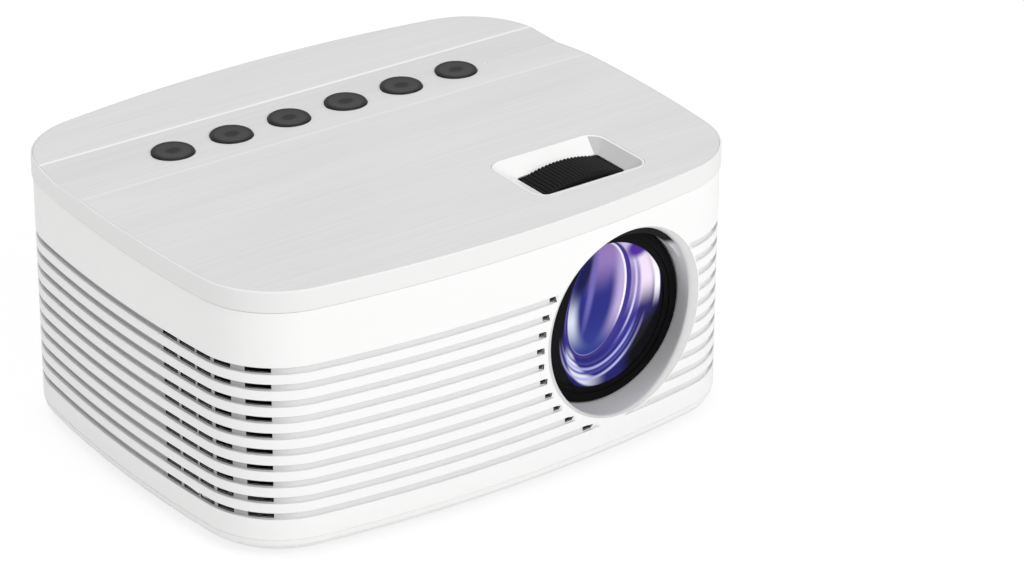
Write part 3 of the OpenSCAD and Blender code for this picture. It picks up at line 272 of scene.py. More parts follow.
def skin(points, paint=0):
    """Skin over a grid of points: a quad between each four neighbours, facing right of the way that rows
    climb when the columns run round to the left; the last column joins the first. The paint is the number
    of the material, for all faces, for each row or for each face."""
    rows, count = points.shape[:2]
    paint = np.broadcast_to(paint, (rows - 1, count)).ravel()
    index = np.arange(rows * count).reshape(rows, count)
    right = np.roll(index, -1, axis=1)
    quads = np.stack([index[:-1], right[:-1], right[1:], index[1:]], axis=-1)
    return points.reshape(-1, 3), quads.reshape(-1, 4), True, paint


def walled(outer, inner, keep, paint, rim_paint):
    """Closed wall between two grids of points. The outer skin and the turned inner skin hold the kept
    cells, and where a kept cell meets a missing one a quad joins both skins. The paint is the material of
    each outer cell."""
    rows, count = outer.shape[:2]
    a = np.arange(rows * count).reshape(rows, count)
    b = np.roll(a, -1, axis=1)
    away = rows * count
    outer_cells = np.stack([a[:-1], b[:-1], b[1:], a[1:]], axis=-1)
    inner_cells = np.stack([a[:-1], a[1:], b[1:], b[:-1]], axis=-1) + away
    below = np.vstack([np.zeros((1, count), bool), keep])
    above = np.vstack([keep, np.zeros((1, count), bool)])
    left = np.roll(keep, 1, axis=1)
    rims = [
        np.stack([b, a, a + away, b + away], axis=-1)[above & ~below],
        np.stack([a, b, b + away, a + away], axis=-1)[below & ~above],
        np.stack([a[:-1], a[1:], a[1:] + away, a[:-1] + away], axis=-1)[keep & ~left],
        np.stack([a[1:], a[:-1], a[:-1] + away, a[1:] + away], axis=-1)[left & ~keep],
    ]
    faces = np.concatenate([outer_cells[keep], inner_cells[keep], *rims])
    numbers = np.full(len(faces), rim_paint)
    numbers[:2 * keep.sum()] = np.concatenate([paint[keep], np.zeros(keep.sum(), int)])
    return np.concatenate([outer.reshape(-1, 3), inner.reshape(-1, 3)]), faces, True, numbers


SLOT_ROWS = 10
SLOT_PITCH = 6.19 * MM
SLOT_FIRST = 16.9 * MM
SLOT_HALF = 1.25 * MM
GROOVE = 1.3 * MM
EDGE = 0.2 * MM
GROOVES_LOW, GROOVES_HIGH = 12 * MM, 76 * MM
DASHES = np.array([[12.7, 19.5], [24.3, 31.2], [32.9, 40.4], [41.5, 49.9], [51.4, 59.5]]) * MM - HALF_D
SIDE_SLOT = np.array([-4, 52]) * MM
# Front and rear faces lie past this depth, the dashes past this width, the left side past this one
FACE_Y, DASH_X, LEFT_X = 60 * MM, 90 * MM, -84 * MM
# The flare in front of the lens tube, the gap from it to the grooves on its right, and the arc on
# which the grooves end to its left, with the short openings there and the width where they stop
FLARE_X, FLARE_Z, FLARE_R = 47.3 * MM, 53 * MM, 35.9 * MM
FLARE_GAP = 0.9 * MM
STOP_X, STOP_Z, STOP_R = 48.5 * MM, 52.6 * MM, 39 * MM
LENS_SLOT, LENS_SLOT_X = 1.9 * MM, 32 * MM
# A groove's depth fades out over this length, and is greater by this much on the left side
FADE = 0.7 * MM
DEEP_X, DEEP_Y, DEEPER = -95 * MM, -27 * MM, 1.2
SOCKET_HALF = 56 * MM
SOCKET_LOW, SOCKET_HIGH = 38.5 * MM, 62.5 * MM
SOCKET_DROP, SOCKET_UP, SOCKET_GAP = 1.5 * MM, 12 * MM, 4 * MM
TRAY_HALF, TRAY_HIGH = 65 * MM, 20.3 * MM
BOW_END = 80.5 * MM
THIN = 0.5 * MM
HAIR = 0.01 * MM

# Rows of the wall: height, depth of the groove there, and whether the cell above is a groove's bottom
groove_z = np.array([-SLOT_HALF - EDGE, -SLOT_HALF, -SLOT_HALF, -SLOT_HALF + EDGE])
groove_d = np.array([0, EDGE, GROOVE - EDGE, GROOVE])
groove_z = np.concatenate([groove_z, -groove_z[::-1]])
groove_d = np.concatenate([groove_d, groove_d[::-1]])
row_z = [np.array([WALL_LOW, WALL_LOW + 0.3 * MM, 11 * MM])]
row_d = [np.array([0.25 * MM, 0, 0])]
row_bottom = [np.zeros(3, bool)]
between = {0: TRAY_HIGH, 3: SOCKET_LOW, 7: SOCKET_HIGH}
for i in range(SLOT_ROWS):
    middle = SLOT_FIRST + SLOT_PITCH * i
    row_z += [middle + groove_z, np.array([between.get(i, middle + SLOT_PITCH / 2)])]
    row_d += [groove_d, np.zeros(1)]
    row_bottom += [np.arange(9) == 3]
top_z = np.arange(76.6, 92.5, 1.15) * MM
row_z += [top_z, np.array([WALL_HIGH - 0.4 * MM, WALL_HIGH])]
row_d += [np.zeros(len(top_z)), np.array([0, 0.5 * MM])]
row_bottom += [np.zeros(len(top_z) + 2, bool)]
row_z, row_d, row_bottom = np.concatenate(row_z), np.concatenate(row_d), np.concatenate(row_bottom)[:-1]

dash_ways = way_to(DASHES.ravel())
side_ways = way_to(SIDE_SLOT)
rear_marks = [WAY / 2 + sign * x for x in (SOCKET_HALF + 0.3 * MM, TRAY_HALF + 0.5 * MM) for sign in (-1, 1)]
marks = np.concatenate([dash_ways, WAY - dash_ways, side_ways, rear_marks])
# Columns stand closer where the flare cuts the wall: start, end and pitch of each stretch
by_flare = [(front_way(6 * MM), front_way(36 * MM), 0.75 * MM),
            (front_way(36 * MM) + 0.8 * MM, front_way(78 * MM), 1.2 * MM),
            (front_way(78 * MM) + 0.6 * MM, front_way(80 * MM) + 8 * MM, 0.9 * MM)]
wall_s = columns(2.9 * MM, marks, by_flare)
S, Z = np.meshgrid(wall_s, row_z)
X, Y = outline(S, 0)
is_front = Y < -FACE_Y

# Grooves fade out before the flare and beside the socket window
left_stop = np.hypot(X - STOP_X, Z - STOP_Z) - STOP_R
flare_way = np.hypot(X - FLARE_X, Z - FLARE_Z)
right_stop = flare_way - FLARE_R - FLARE_GAP
lens_stop = np.where(X < STOP_X, left_stop, right_stop)
from_socket = np.maximum(np.abs(X) - SOCKET_HALF, np.abs(Z - LENS_Z + SOCKET_DROP) - SOCKET_UP)
stop = np.where(is_front, lens_stop, np.where(Y > FACE_Y, from_socket - SOCKET_GAP, 1.0))
is_groove = (row_z > GROOVES_LOW) & (row_z < GROOVES_HIGH)
share = np.where(is_groove[:, None], np.clip(stop / FADE, 0, 1), 1.0)
depth = row_d[:, None] * share * np.where((X < DEEP_X) & (Y > DEEP_Y), DEEPER, 1.0)

# Cells that are open: the dashes, the side openings, the ends of the grooves at the lens, the socket
# window, the tray's notch and the lens hole
cell_x, cell_y, cell_z, cell_stop = [
    (g[:-1] + np.roll(g, -1, axis=1)[:-1] + g[1:] + np.roll(g, -1, axis=1)[1:]) / 4 for g in (X, Y, Z, stop)]
in_dash = np.any([(cell_y > low) & (cell_y < high) for low, high in DASHES], axis=0)
in_dash &= np.abs(cell_x) > DASH_X
in_side = (cell_x > 0) & (cell_y > SIDE_SLOT[0]) & (cell_y < SIDE_SLOT[1])
at_lens = (cell_y < -FACE_Y) & (cell_x > 0) & (cell_x < LENS_SLOT_X)
at_lens &= (cell_stop > 0) & (cell_stop < LENS_SLOT)
is_open = row_bottom[:, None] & (in_dash | in_side | at_lens)
is_rear = cell_y > FACE_Y
is_open |= is_rear & (np.abs(cell_x) < SOCKET_HALF) & (cell_z > SOCKET_LOW) & (cell_z < SOCKET_HIGH)
is_open |= is_rear & (np.abs(cell_x) < TRAY_HALF) & (cell_z < TRAY_HIGH)
inside = is_front & (flare_way < FLARE_R)
is_open |= inside[:-1] & np.roll(inside, -1, axis=1)[:-1] & inside[1:] & np.roll(inside, -1, axis=1)[1:]

# Points that fall inside the flare move out to its edge
pull = np.where(inside, FLARE_R / np.maximum(flare_way, 1 * MM), 1.0)
X = FLARE_X + (X - FLARE_X) * pull
Z = np.where(inside, FLARE_Z + (Z - FLARE_Z) * pull, Z)
bow_way = front_way(np.clip(X, -80 * MM, BOW_END)) + np.maximum(X - BOW_END, 0) * 1.02
S = np.where(inside, bow_way, S)
outer = np.stack([*outline(S, depth), Z], axis=-1)
# The wall is thin behind the grooves' openings, and full elsewhere
near = is_open & row_bottom[:, None]
near |= np.roll(near, 1, axis=1)
thin = np.zeros(X.shape, bool)
thin[:-1] |= near
thin[1:] |= near
inner = np.stack([*outline(S, np.where(thin, depth + THIN, WALL)), Z], axis=-1)


def ramp(value, start, end):
    """Mask of a value: it grows in a smooth step from nothing at the start to one at the end."""
    tree = value.id_data
    fade = tree.nodes.new("ShaderNodeMapRange")
    fade.interpolation_type = "SMOOTHSTEP"
    fade.inputs["From Min"].default_value = start
    fade.inputs["From Max"].default_value = end
    tree.links.new(value, fade.inputs["Value"])
    return fade.outputs["Result"]


def paint_over(under, mask, colour):
    """Colour laid over what is under it, which is a colour or an output, where the mask is one."""
    tree = mask.id_data
    layer = tree.nodes.new("ShaderNodeMix")
    layer.data_type = "RGBA"
    layer.inputs[7].default_value = (*colour, 1)
    tree.links.new(mask, layer.inputs[0])
    if isinstance(under, tuple):
        layer.inputs[6].default_value = (*under, 1)
    else:
        tree.links.new(under, layer.inputs[6])
    return layer.outputs[2]


def shade_along(material, axis, start, end, colour):
    """Lays a colour over a material's own, growing smoothly from none at the start to all at the end of a
    stretch of an axis."""
    nodes, links = material.node_tree.nodes, material.node_tree.links
    place = nodes.new("ShaderNodeTexCoord")
    split = nodes.new("ShaderNodeSeparateXYZ")
    links.new(place.outputs["Object"], split.inputs["Vector"])
    own = nodes["Principled BSDF"].inputs["Base Color"]
    mask = ramp(split.outputs[axis], start, end)
    links.new(paint_over(own.links[0].from_socket, mask, colour), own)


# The floor and walls of the grooves get painted shade: light grey in front, darker on the left side
groove_painted_shade = finish("groove_painted_shade", (0.74, 0.74, 0.745), 0.6)
groove_painted_deep_shade = finish("groove_painted_deep_shade", (0.74, 0.74, 0.745), 0.65)
shade_along(groove_painted_deep_shade, "X", -86 * MM, -104 * MM, (0.4, 0.4, 0.405))
# The faces where the wall is cut through, round its openings and at its top and bottom ends, are painted near
# black, as shade in the openings
vent_painted_shade = finish("vent_painted_shade", (0.03, 0.03, 0.03), 0.7)
cell_row = (row_z[:-1] + row_z[1:]) / 2 - SLOT_FIRST
from_middle = cell_row - SLOT_PITCH * np.clip(np.round(cell_row / SLOT_PITCH), 0, SLOT_ROWS - 1)
in_groove = np.abs(from_middle) < SLOT_HALF + HAIR
cell_share = (share[:-1] + share[1:]) / 2
tone = np.where(in_groove[:, None] & (cell_share > 0.5), 1, 0)
# On the left side the floor and upper wall of each groove take the darker painted shade, the lower wall the
# pale one
in_deep_painted_shade = (from_middle > -SLOT_HALF + HAIR)[:, None] & (cell_x < LEFT_X)
tone = np.where((tone == 1) & in_deep_painted_shade, 2, tone)
# The top row of cells, in the seam under the cover's edge, gets the pale painted shade
tone[row_z[1:] > WALL_HIGH - HAIR] = 1
wall_parts = [walled(outer, inner, ~is_open, tone, 3)]
wall_finishes = [white_abs, groove_painted_shade, groove_painted_deep_shade, vent_painted_shade]
piece("case_wall", wall_parts, wall_finishes, "root", ["body_shell"])

# ---------------------------------------------------------------- lens flare
# White ring pressed into the round hole of the case wall. Its mouth flares out to the front, and
# its tube runs back to the lens.
TUBE_R = 33.9 * MM
TUBE_OUT = 34.7 * MM
LENS_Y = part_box("lens_cell")[0].y
# The flare's rim stands just inside the hole. From there it rolls in by these amounts to the side
# and up, goes back by its depth, and its middle shifts to the left and up.
FLARE_RIM = FLARE_R - 0.06 * MM
FLARE_SIDE, FLARE_UP, FLARE_DEEP = 3 * MM, 0.5 * MM, 1.6 * MM
FLARE_LEFT, FLARE_RISE = 1.1 * MM, 0.4 * MM
ROUND = 144
round_angle = np.linspace(0, 2 * math.pi, ROUND, endpoint=False)


def front_y(x):
    """Depth of the front of the case at the width x, on its bow and then on its corner."""
    on_bow = FRONT_C[1] - np.sqrt(FRONT_R ** 2 - x ** 2)
    on_corner = CORNER[1] - np.sqrt(np.maximum(CORNER_R ** 2 - (x - CORNER[0]) ** 2, 0))
    return np.where(x > CORNER[0] + CORNER_R * math.cos(front_end), on_corner, on_bow)


def tube_ring(radius, y):
    """Ring of points round the lens axis at the depth y."""
    x = LENS_X + radius * np.cos(round_angle)
    z = LENS_Z + radius * np.sin(round_angle)
    return np.stack([x, np.full(ROUND, y), z], axis=-1)


# The mouth and tube are the case's white ABS, painted darker as shade inside the hole: the mouth dim white,
# the tube grey
tube_painted_shade = finish("tube_painted_shade", (0.68, 0.68, 0.685), 0.6, Specular_IOR_Level=0.1)
mouth_painted_shade = finish("mouth_painted_shade", (0.64, 0.64, 0.64), 0.45)
# The top of the tube lies in deep shade, painted on, which fades out down its sides
shade_along(tube_painted_shade, "Z", LENS_Z + 22 * MM, LENS_Z + 26 * MM, (0.006, 0.006, 0.006))


def mouth_oval(x, z, half_x, half_z, behind):
    """Oval of points round the lens that lies a distance behind the bowed front."""
    x = x + half_x * np.cos(round_angle)
    return np.stack([x, front_y(x) + behind, z + half_z * np.sin(round_angle)], axis=-1)


flare_rows = []
for turn in np.radians([0, 15, 30, 45, 60, 75, 90]):
    bent = math.sin(turn)
    flare_rows.append(mouth_oval(FLARE_X - FLARE_LEFT * bent, FLARE_Z + FLARE_RISE * bent,
                                 FLARE_RIM - FLARE_SIDE * bent, FLARE_RIM - FLARE_UP * bent,
                                 FLARE_DEEP * (1 - math.cos(turn))))
tube_end = LENS_Y + 2.5 * MM
flare_rows += [mouth_oval(LENS_X, LENS_Z, TUBE_R, TUBE_R, 3.2 * MM), tube_ring(TUBE_R, tube_end)]
flare_rows += [tube_ring(TUBE_OUT, tube_end), mouth_oval(LENS_X, LENS_Z, TUBE_OUT, TUBE_OUT, 3.8 * MM)]
flare_rows += [mouth_oval(FLARE_X, FLARE_Z, FLARE_RIM, FLARE_RIM, 2.6 * MM), flare_rows[0]]
# The mouth's rows take its painted shade, the tube's two the grey painted shade, and the back of the ring
# plain white
flare_paint = np.array([1] * 6 + [2] * 2 + [0] * 4)[:, None]
flare_parts = [skin(np.array(flare_rows), flare_paint)]
piece("lens_flare", flare_parts, [white_abs, mouth_painted_shade, tube_painted_shade], "root", ["lens_bezel"])

# ---------------------------------------------------------------- front lens
# Coated glass under the black retainer. Its reflections of the room are painted on as nested blue, lilac and
# white ovals that lean to the right, with the dark inside of the tube painted as shade round them.
glass_painted_reflections = finish("glass_painted_reflections", (0.1, 0.1, 0.1), 0.05, height=0.0002, Coat_Weight=0.06, Coat_Roughness=0.04,
                Specular_IOR_Level=0.06)
nodes, links = glass_painted_reflections.node_tree.nodes, glass_painted_reflections.node_tree.links
place = nodes.new("ShaderNodeTexCoord")
split = nodes.new("ShaderNodeSeparateXYZ")
links.new(place.outputs["Object"], split.inputs["Vector"])
# Half length of an oval across its plane, so long that it plays no part
ACROSS = 1000


def oval_way(vector, middle, halves, lean=0.0):
    """Distance of a vector from the middle of an oval, in the frame of its leaning axes and with each
    divided by its half length: one on the oval's edge."""
    tree = vector.id_data
    turn = tree.nodes.new("ShaderNodeMapping")
    turn.vector_type = "TEXTURE"
    turn.inputs["Location"].default_value = middle
    turn.inputs["Rotation"].default_value = (0, -math.radians(lean), 0)
    turn.inputs["Scale"].default_value = halves
    size = tree.nodes.new("ShaderNodeVectorMath")
    size.operation = "LENGTH"
    tree.links.new(vector, turn.inputs["Vector"])
    tree.links.new(turn.outputs["Vector"], size.inputs[0])
    return size.outputs["Value"]


def oval(x, z, long, short, lean, soft):
    """Mask of an oval on the glass, with its middle and half lengths in mm: it falls from one to nothing
    across the soft share of the oval's edge."""
    halves = (long * MM, ACROSS, short * MM)
    way = oval_way(place.outputs["Object"], (x * MM, 0, z * MM), halves, lean)
    return ramp(way, 1 + soft, 1 - soft)


def fade_along(axis, start, end):
    """Mask that grows from nothing to one from start to end, in mm, along an axis."""
    return ramp(split.outputs[axis], start * MM, end * MM)


def times(first, second, invert=False):
    """Product of two masks, or of the first and what the second leaves free."""
    if invert:
        rest = nodes.new("ShaderNodeMath")
        rest.operation = "SUBTRACT"
        rest.inputs[0].default_value = 1
        links.new(second, rest.inputs[1])
        second = rest.outputs[0]
    product = nodes.new("ShaderNodeMath")
    product.operation = "MULTIPLY"
    links.new(first, product.inputs[0])
    links.new(second, product.inputs[1])
    return product.outputs[0]


# Painted reflections and shade, from the outside in: the opening, its bright edge, the rings of the lens, and
# the core
opening = oval(49.2, 51.7, 29.3, 21.3, 71.2, 0.02)
lower = fade_along("Z", 50, 38)
reflection_paint = paint_over((0.003, 0.003, 0.005), opening, (0.02, 0.014, 0.13))
reflection_paint = paint_over(reflection_paint, times(opening, fade_along("Z", 46, 34)), (0.02, 0.02, 0.15))
edge_light = times(oval(49.6, 51.9, 28.3, 20.4, 70.9, 0.015), oval(47.4, 51.2, 28.3, 19.6, 70, 0.03), True)
reflection_paint = paint_over(reflection_paint, times(edge_light, fade_along("Z", 48, 58)), (0.95, 0.93, 1.0))
ring = oval(45.2, 56.4, 24.6, 16.4, 70.1, 0.02)
reflection_paint = paint_over(reflection_paint, times(ring, fade_along("Z", 34, 44)), (0.035, 0.03, 0.27))
reflection_paint = paint_over(reflection_paint, times(ring, fade_along("Z", 48, 60)), (0.3, 0.23, 0.5))
reflection_paint = paint_over(reflection_paint, times(ring, fade_along("Z", 64, 76)), (0.62, 0.52, 0.78))
pale = times(oval(48.6, 55.4, 25.6, 18.6, 72, 0.1), oval(44.6, 56.2, 24.2, 15.8, 70.2, 0.05), True)
reflection_paint = paint_over(reflection_paint, times(pale, fade_along("Z", 50, 62)), (0.85, 0.74, 0.9))
foot_light = times(oval(49.6, 51.9, 28.3, 20.4, 70.9, 0.02), oval(51.6, 55.4, 28.5, 20.6, 70.8, 0.03), True)
foot_side = times(fade_along("Z", 46, 38), fade_along("X", 48, 35))
reflection_paint = paint_over(reflection_paint, times(foot_light, foot_side), (0.85, 0.86, 1.0))
bands = [
    (45.6, 53.9, 26.9, 18.9, (0.5, 0.48, 0.9)),
    (44.9, 55.0, 25.4, 17.9, (0.07, 0.07, 0.36)),
    (44.3, 55.8, 24.3, 17.1, (0.42, 0.42, 0.85)),
    (43.6, 57.0, 23.2, 15.6, (0.05, 0.05, 0.32)),
]
for x, z, long, short, colour in bands:
    within = oval(x - 0.4, z + 0.4, long - 0.7, short - 0.6, 72, 0.02)
    band = times(oval(x, z, long, short, 72, 0.02), within, True)
    reflection_paint = paint_over(reflection_paint, times(band, lower), colour)
streak = times(oval(44.0, 58.0, 23.2, 14.9, 70.9, 0.02), oval(43.2, 58.1, 23.2, 14.7, 70.9, 0.03), True)
reflection_paint = paint_over(reflection_paint, times(streak, fade_along("Z", 38, 52)), (0.66, 0.6, 0.88))
reflection_paint = paint_over(reflection_paint, oval(42.6, 58.9, 21.9, 13.3, 70.9, 0.02), (0.05, 0.035, 0.24))
core = oval(41.9, 59.6, 21.1, 11.9, 73.1, 0.015)
reflection_paint = paint_over(reflection_paint, core, (0.022, 0.026, 0.22))
reflection_paint = paint_over(reflection_paint, times(core, oval(37.6, 58.9, 22.6, 11.2, 72.3, 0.22), True), (0.5, 0.4, 0.68))
right_light = times(core, oval(45.4, 60.6, 20.9, 11.9, 73.3, 0.14), True)
reflection_paint = paint_over(reflection_paint, times(right_light, fade_along("Z", 68, 52)), (0.78, 0.84, 0.95))
reflection_paint = paint_over(reflection_paint, times(core, fade_along("Z", 56, 40)), (0.03, 0.045, 0.27))
top_light = times(core, oval(44.5, 72, 15, 6, 72, 0.5))
reflection_paint = paint_over(reflection_paint, times(top_light, fade_along("Z", 60, 76)), (0.3, 0.2, 0.5))
reflection_paint = paint_over(reflection_paint, times(core, oval(36.6, 70.5, 9, 2.6, 62, 0.6)), (0.008, 0.008, 0.07))
reflection_paint = paint_over(reflection_paint, times(core, oval(39.2, 64.5, 13, 1.2, 76, 0.8)), (0.16, 0.14, 0.46))
bright = times(core, oval(41.3, 59.7, 20.9, 11.6, 73.1, 0.025), True)
bright = times(bright, fade_along("X", 42, 49))
reflection_paint = paint_over(reflection_paint, times(bright, fade_along("Z", 46, 56)), (0.93, 0.88, 1.0))
# Two more over them: painted shade at the dark foot of the opening at the right, and a painted violet
# reflection spot at its top
reflection_paint = paint_over(reflection_paint, oval(68.4, 35.7, 16.3, 10.4, 49, 0.28), (0.003, 0.003, 0.005))
reflection_paint = paint_over(reflection_paint, times(opening, oval(61.4, 74.6, 6.1, 3.6, 12, 0.4)), (0.08, 0.025, 0.34))
links.new(reflection_paint, nodes["Principled BSDF"].inputs["Base Color"])

# Profile of the lens: a shallow dome of this radius and bulge, the edge in its seat, and the back
DOME_R, EDGE_R, BACK_R = 27.8, 29.6, 27
BULGE = 2.2
GLASS_POINTS = 128
swing = np.linspace(0, 1, 14)
glass_r = np.concatenate([DOME_R * swing, [EDGE_R, EDGE_R, BACK_R, 0]])[:, None] * MM
glass_y = LENS_Y + np.concatenate([-1.6 + BULGE * swing ** 2, [0.7, 4.0, 7.0, 7.0]])[:, None] * MM
glass_angle = np.linspace(0, 2 * math.pi, GLASS_POINTS, endpoint=False)
glass_x = LENS_X + glass_r * np.cos(glass_angle)
glass_z = LENS_Z + glass_r * np.sin(glass_angle)
glass_grid = np.stack([glass_x, np.repeat(glass_y, GLASS_POINTS, axis=1), glass_z], axis=-1)
piece("front_glass", [skin(glass_grid[::-1])], [glass_painted_reflections], "lens", ["front_lens"])

# ---------------------------------------------------------------- focus wheel
# Black moulded ring round the barrel with a toothed rim over part of its turn. The rim's top
# shows in the window, and turning it slides the lens through a pin.
WHEEL_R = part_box("focus_ring")[1].z - LENS_Z
WHEEL_Y0, WHEEL_Y1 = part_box("focus_ring")[0].y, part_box("focus_ring")[1].y
REACH = math.radians(52)
TEETH = 57
TOOTH = 0.55 * MM
RIM_IN, RIM_SIDE, RIM_BEVEL = WHEEL_R - 3.4 * MM, WHEEL_R - 1 * MM, 0.8 * MM
WEB_IN, WEB_OUT, WEB_HALF = 34 * MM, WHEEL_R - 2.6 * MM, 1.5 * MM


def sector(profile, ripple):
    """Closed part of a ring: the profile of radius and depth is turned about the lens axis over the reach,
    and its two ends are capped. Points with a ripple move in and out with the cosine of the tooth count."""
    angle = np.linspace(-REACH, REACH, TEETH * 6 + 1)
    wave = 0.5 - 0.5 * np.cos((angle + REACH) / (2 * REACH) * TEETH * 2 * math.pi)
    radius = profile[:, :1] - ripple[:, None] * wave ** 2
    x = LENS_X + radius * np.sin(angle)
    z = LENS_Z + radius * np.cos(angle)
    grid = np.stack([x, np.repeat(profile[:, 1:], len(angle), axis=1), z], axis=-1)
    index = np.arange(grid.shape[0] * grid.shape[1]).reshape(grid.shape[:2])
    below = np.roll(index, -1, axis=0)
    quads = np.stack([index[:, :-1], index[:, 1:], below[:, 1:], below[:, :-1]], axis=-1).reshape(-1, 4)
    return grid.reshape(-1, 3), quads, [index[::-1, -1].tolist(), index[:, 0].tolist()]


rim_profile = np.array([[RIM_IN, WHEEL_Y0], [RIM_SIDE, WHEEL_Y0], [WHEEL_R, WHEEL_Y0 + RIM_BEVEL],
                        [WHEEL_R, WHEEL_Y1 - RIM_BEVEL], [RIM_SIDE, WHEEL_Y1], [RIM_IN, WHEEL_Y1]])
middle_y = (WHEEL_Y0 + WHEEL_Y1) / 2
web_profile = np.array([[WEB_IN, middle_y - WEB_HALF], [WEB_OUT, middle_y - WEB_HALF],
                        [WEB_OUT, middle_y + WEB_HALF], [WEB_IN, middle_y + WEB_HALF]])
wheel_parts = []
for profile, ripple in ((rim_profile, np.array([0, 0, 1, 1, 0, 0]) * TOOTH), (web_profile, np.zeros(4))):
    sector_points, sector_quads, caps = sector(profile, ripple)
    wheel_parts.append((sector_points, sector_quads, True, 0))
    wheel_parts += [(sector_points, [cap], False, 0) for cap in caps]
hub_profile = np.array([[35, -61.4], [35, -47.66], [30.96, -47.66], [30.96, -61.4]]) * MM
hub_rows = [tube_ring(r, y) for r, y in [*hub_profile, hub_profile[0]]]
wheel_parts.append(skin(np.array(hub_rows)[::-1]))
piece("focus_wheel_ring", wheel_parts, [wheel_black], "focus_wheel", ["focus_ring"])

# ---------------------------------------------------------------- top cover
# White moulded lid with a rolled edge. It stands out half a millimetre over the wall, and has a
# bed for the grained panel, wells for the buttons and the bevelled window of the focus wheel.
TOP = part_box("top_cover")[1].z
OVER = 0.5 * MM
ROLL = 0.6 * MM
VALLEY = np.array([21.2, 39.2, 54.2]) * MM
VALLEY_DEPTH = 1.3 * MM
PANEL_INSET = 0.3 * MM
BED_INSET = 0.2 * MM
BED_Z = TOP - 2.5 * MM
UNDER_Z = TOP - 4.1 * MM
LIP_Z = WALL_HIGH - 3 * MM
LIP_OUT, LIP_IN = 2.65 * MM, 4.05 * MM
CHAMFER = 0.2 * MM
BUTTON_X = (-61.3 + 24.6 * np.arange(6)) * MM
BUTTON_Y = 38.4 * MM
WELL_R = 8.05 * MM
LIGHT_X = 74.9 * MM
WHEEL_Y = -54.3 * MM
WINDOW_Y = WHEEL_Y + 1.6 * MM


def valley_drop(y):
    """How far the top lies below its highest plane: two slopes from the valley's edges to its bottom line."""
    return np.interp(y, VALLEY, [0, VALLEY_DEPTH, 0])


def circle(x, y, radius, count=48):
    """Loop of points round a circle."""
    angle = np.linspace(0, 2 * math.pi, count, endpoint=False)
    return np.stack([x + radius * np.cos(angle), y + radius * np.sin(angle)], axis=-1)


def soft_rect(x, y, length, width, radius, steps=9):
    """Loop of points round a rectangle with round corners: a quarter circle at each corner."""
    angle = np.linspace(0, math.pi / 2, steps)
    turns = np.concatenate([angle + k * math.pi / 2 for k in range(4)])
    side = np.repeat([[1, 1], [-1, 1], [-1, -1], [1, -1]], steps, axis=0)
    half = np.array([length / 2 - radius, width / 2 - radius])
    return np.array([x, y]) + side * half + radius * np.stack([np.cos(turns), np.sin(turns)], axis=-1)


def sheet(loop, holes=(), lines=()):
    """Triangles of a flat sheet inside a loop, less its holes: a Delaunay triangulation that keeps the
    loops and the lines as edges, less the triangles whose middles are in a hole or outside."""
    loops = [loop, *holes]
    points = np.concatenate([*loops, *lines])
    edges, start = [], 0
    for ring in loops:
        index = np.arange(len(ring)) + start
        edges += np.stack([index, np.roll(index, -1)], axis=-1).tolist()
        start += len(ring)
    for _ in lines:
        edges.append([start, start + 1])
        start += 2
    got = delaunay_2d_cdt([Vector(p) for p in points], edges, [], 0, 1e-8, False)
    flat = np.array([list(p) for p in got[0]])
    triangles = np.array(got[2])
    middle = flat[triangles].mean(axis=1)
    keep = inside_loop(middle, loop)
    for hole in holes:
        keep &= ~inside_loop(middle, hole)
    return flat, triangles[keep]


def inside_loop(points, loop):
    """Whether each point is inside a loop: a ray to the right crosses its edges an odd number of times."""
    a, b = loop, np.roll(loop, -1, axis=0)
    x, y = points[:, :1], points[:, 1:]
    crosses = (a[:, 1] > y) != (b[:, 1] > y)
    slope = (b[:, 0] - a[:, 0]) / np.where(b[:, 1] == a[:, 1], 1e-12, b[:, 1] - a[:, 1])
    return (crosses & (x < a[:, 0] + (y - a[:, 1]) * slope)).sum(axis=1) % 2 == 1


def lifted(loop, z):
    """Loop or sheet of plan points at a height."""
    return np.column_stack([loop, np.broadcast_to(z, len(loop))])


valley_ways = np.array([way_to(y) for y in VALLEY])
top_s = columns(2.2 * MM, np.concatenate([valley_ways, WAY - valley_ways]), clear=0.8 * MM)
roll = np.radians(np.arange(0, 91, 15))
# Section through the cover's edge: chamfer, roll, step to the bed, and the lip inside the case wall
edge_inset = np.concatenate([[CHAMFER - OVER, -OVER], ROLL * (1 - np.cos(roll)) - OVER, [BED_INSET] * 2,
                             [LIP_IN] * 3, [LIP_OUT] * 2, [CHAMFER - OVER]])
edge_z = np.concatenate([[WALL_HIGH, WALL_HIGH + CHAMFER], TOP - ROLL * (1 - np.sin(roll)), [TOP, BED_Z],
                         [BED_Z, UNDER_Z, LIP_Z, LIP_Z, WALL_HIGH, WALL_HIGH]])
S, Z = np.meshgrid(top_s, edge_z)
X, Y = outline(S, edge_inset[:, None])
Z = np.where((Z > TOP - ROLL - 1e-6) & (edge_inset[:, None] < 2 * MM), Z - valley_drop(Y), Z)
cover_ring = np.stack([X, Y, Z], axis=-1)
bed_row = len(edge_z) - 6
ring_top = skin(cover_ring[:bed_row + 1])
ring_under = skin(cover_ring[bed_row + 1:])
bed_loop = cover_ring[bed_row, :, :2]
wells = [circle(x, BUTTON_Y, WELL_R) for x in BUTTON_X] + [circle(LIGHT_X, BUTTON_Y, 1 * MM, 16)]
upstand = soft_rect(LENS_X, WINDOW_Y, 48.9 * MM, 33.4 * MM, 6.6 * MM)
room = soft_rect(LENS_X, WHEEL_Y, 40.5 * MM, 18.4 * MM, 1.5 * MM)
bed_points, bed_faces = sheet(bed_loop, [*wells, upstand])
under_points, under_faces = sheet(bed_loop, [*wells, room])
cover_parts = [ring_top, ring_under, (lifted(bed_points, BED_Z), bed_faces, False, 0),
               (lifted(under_points, UNDER_Z), under_faces[:, ::-1], False, 0)]
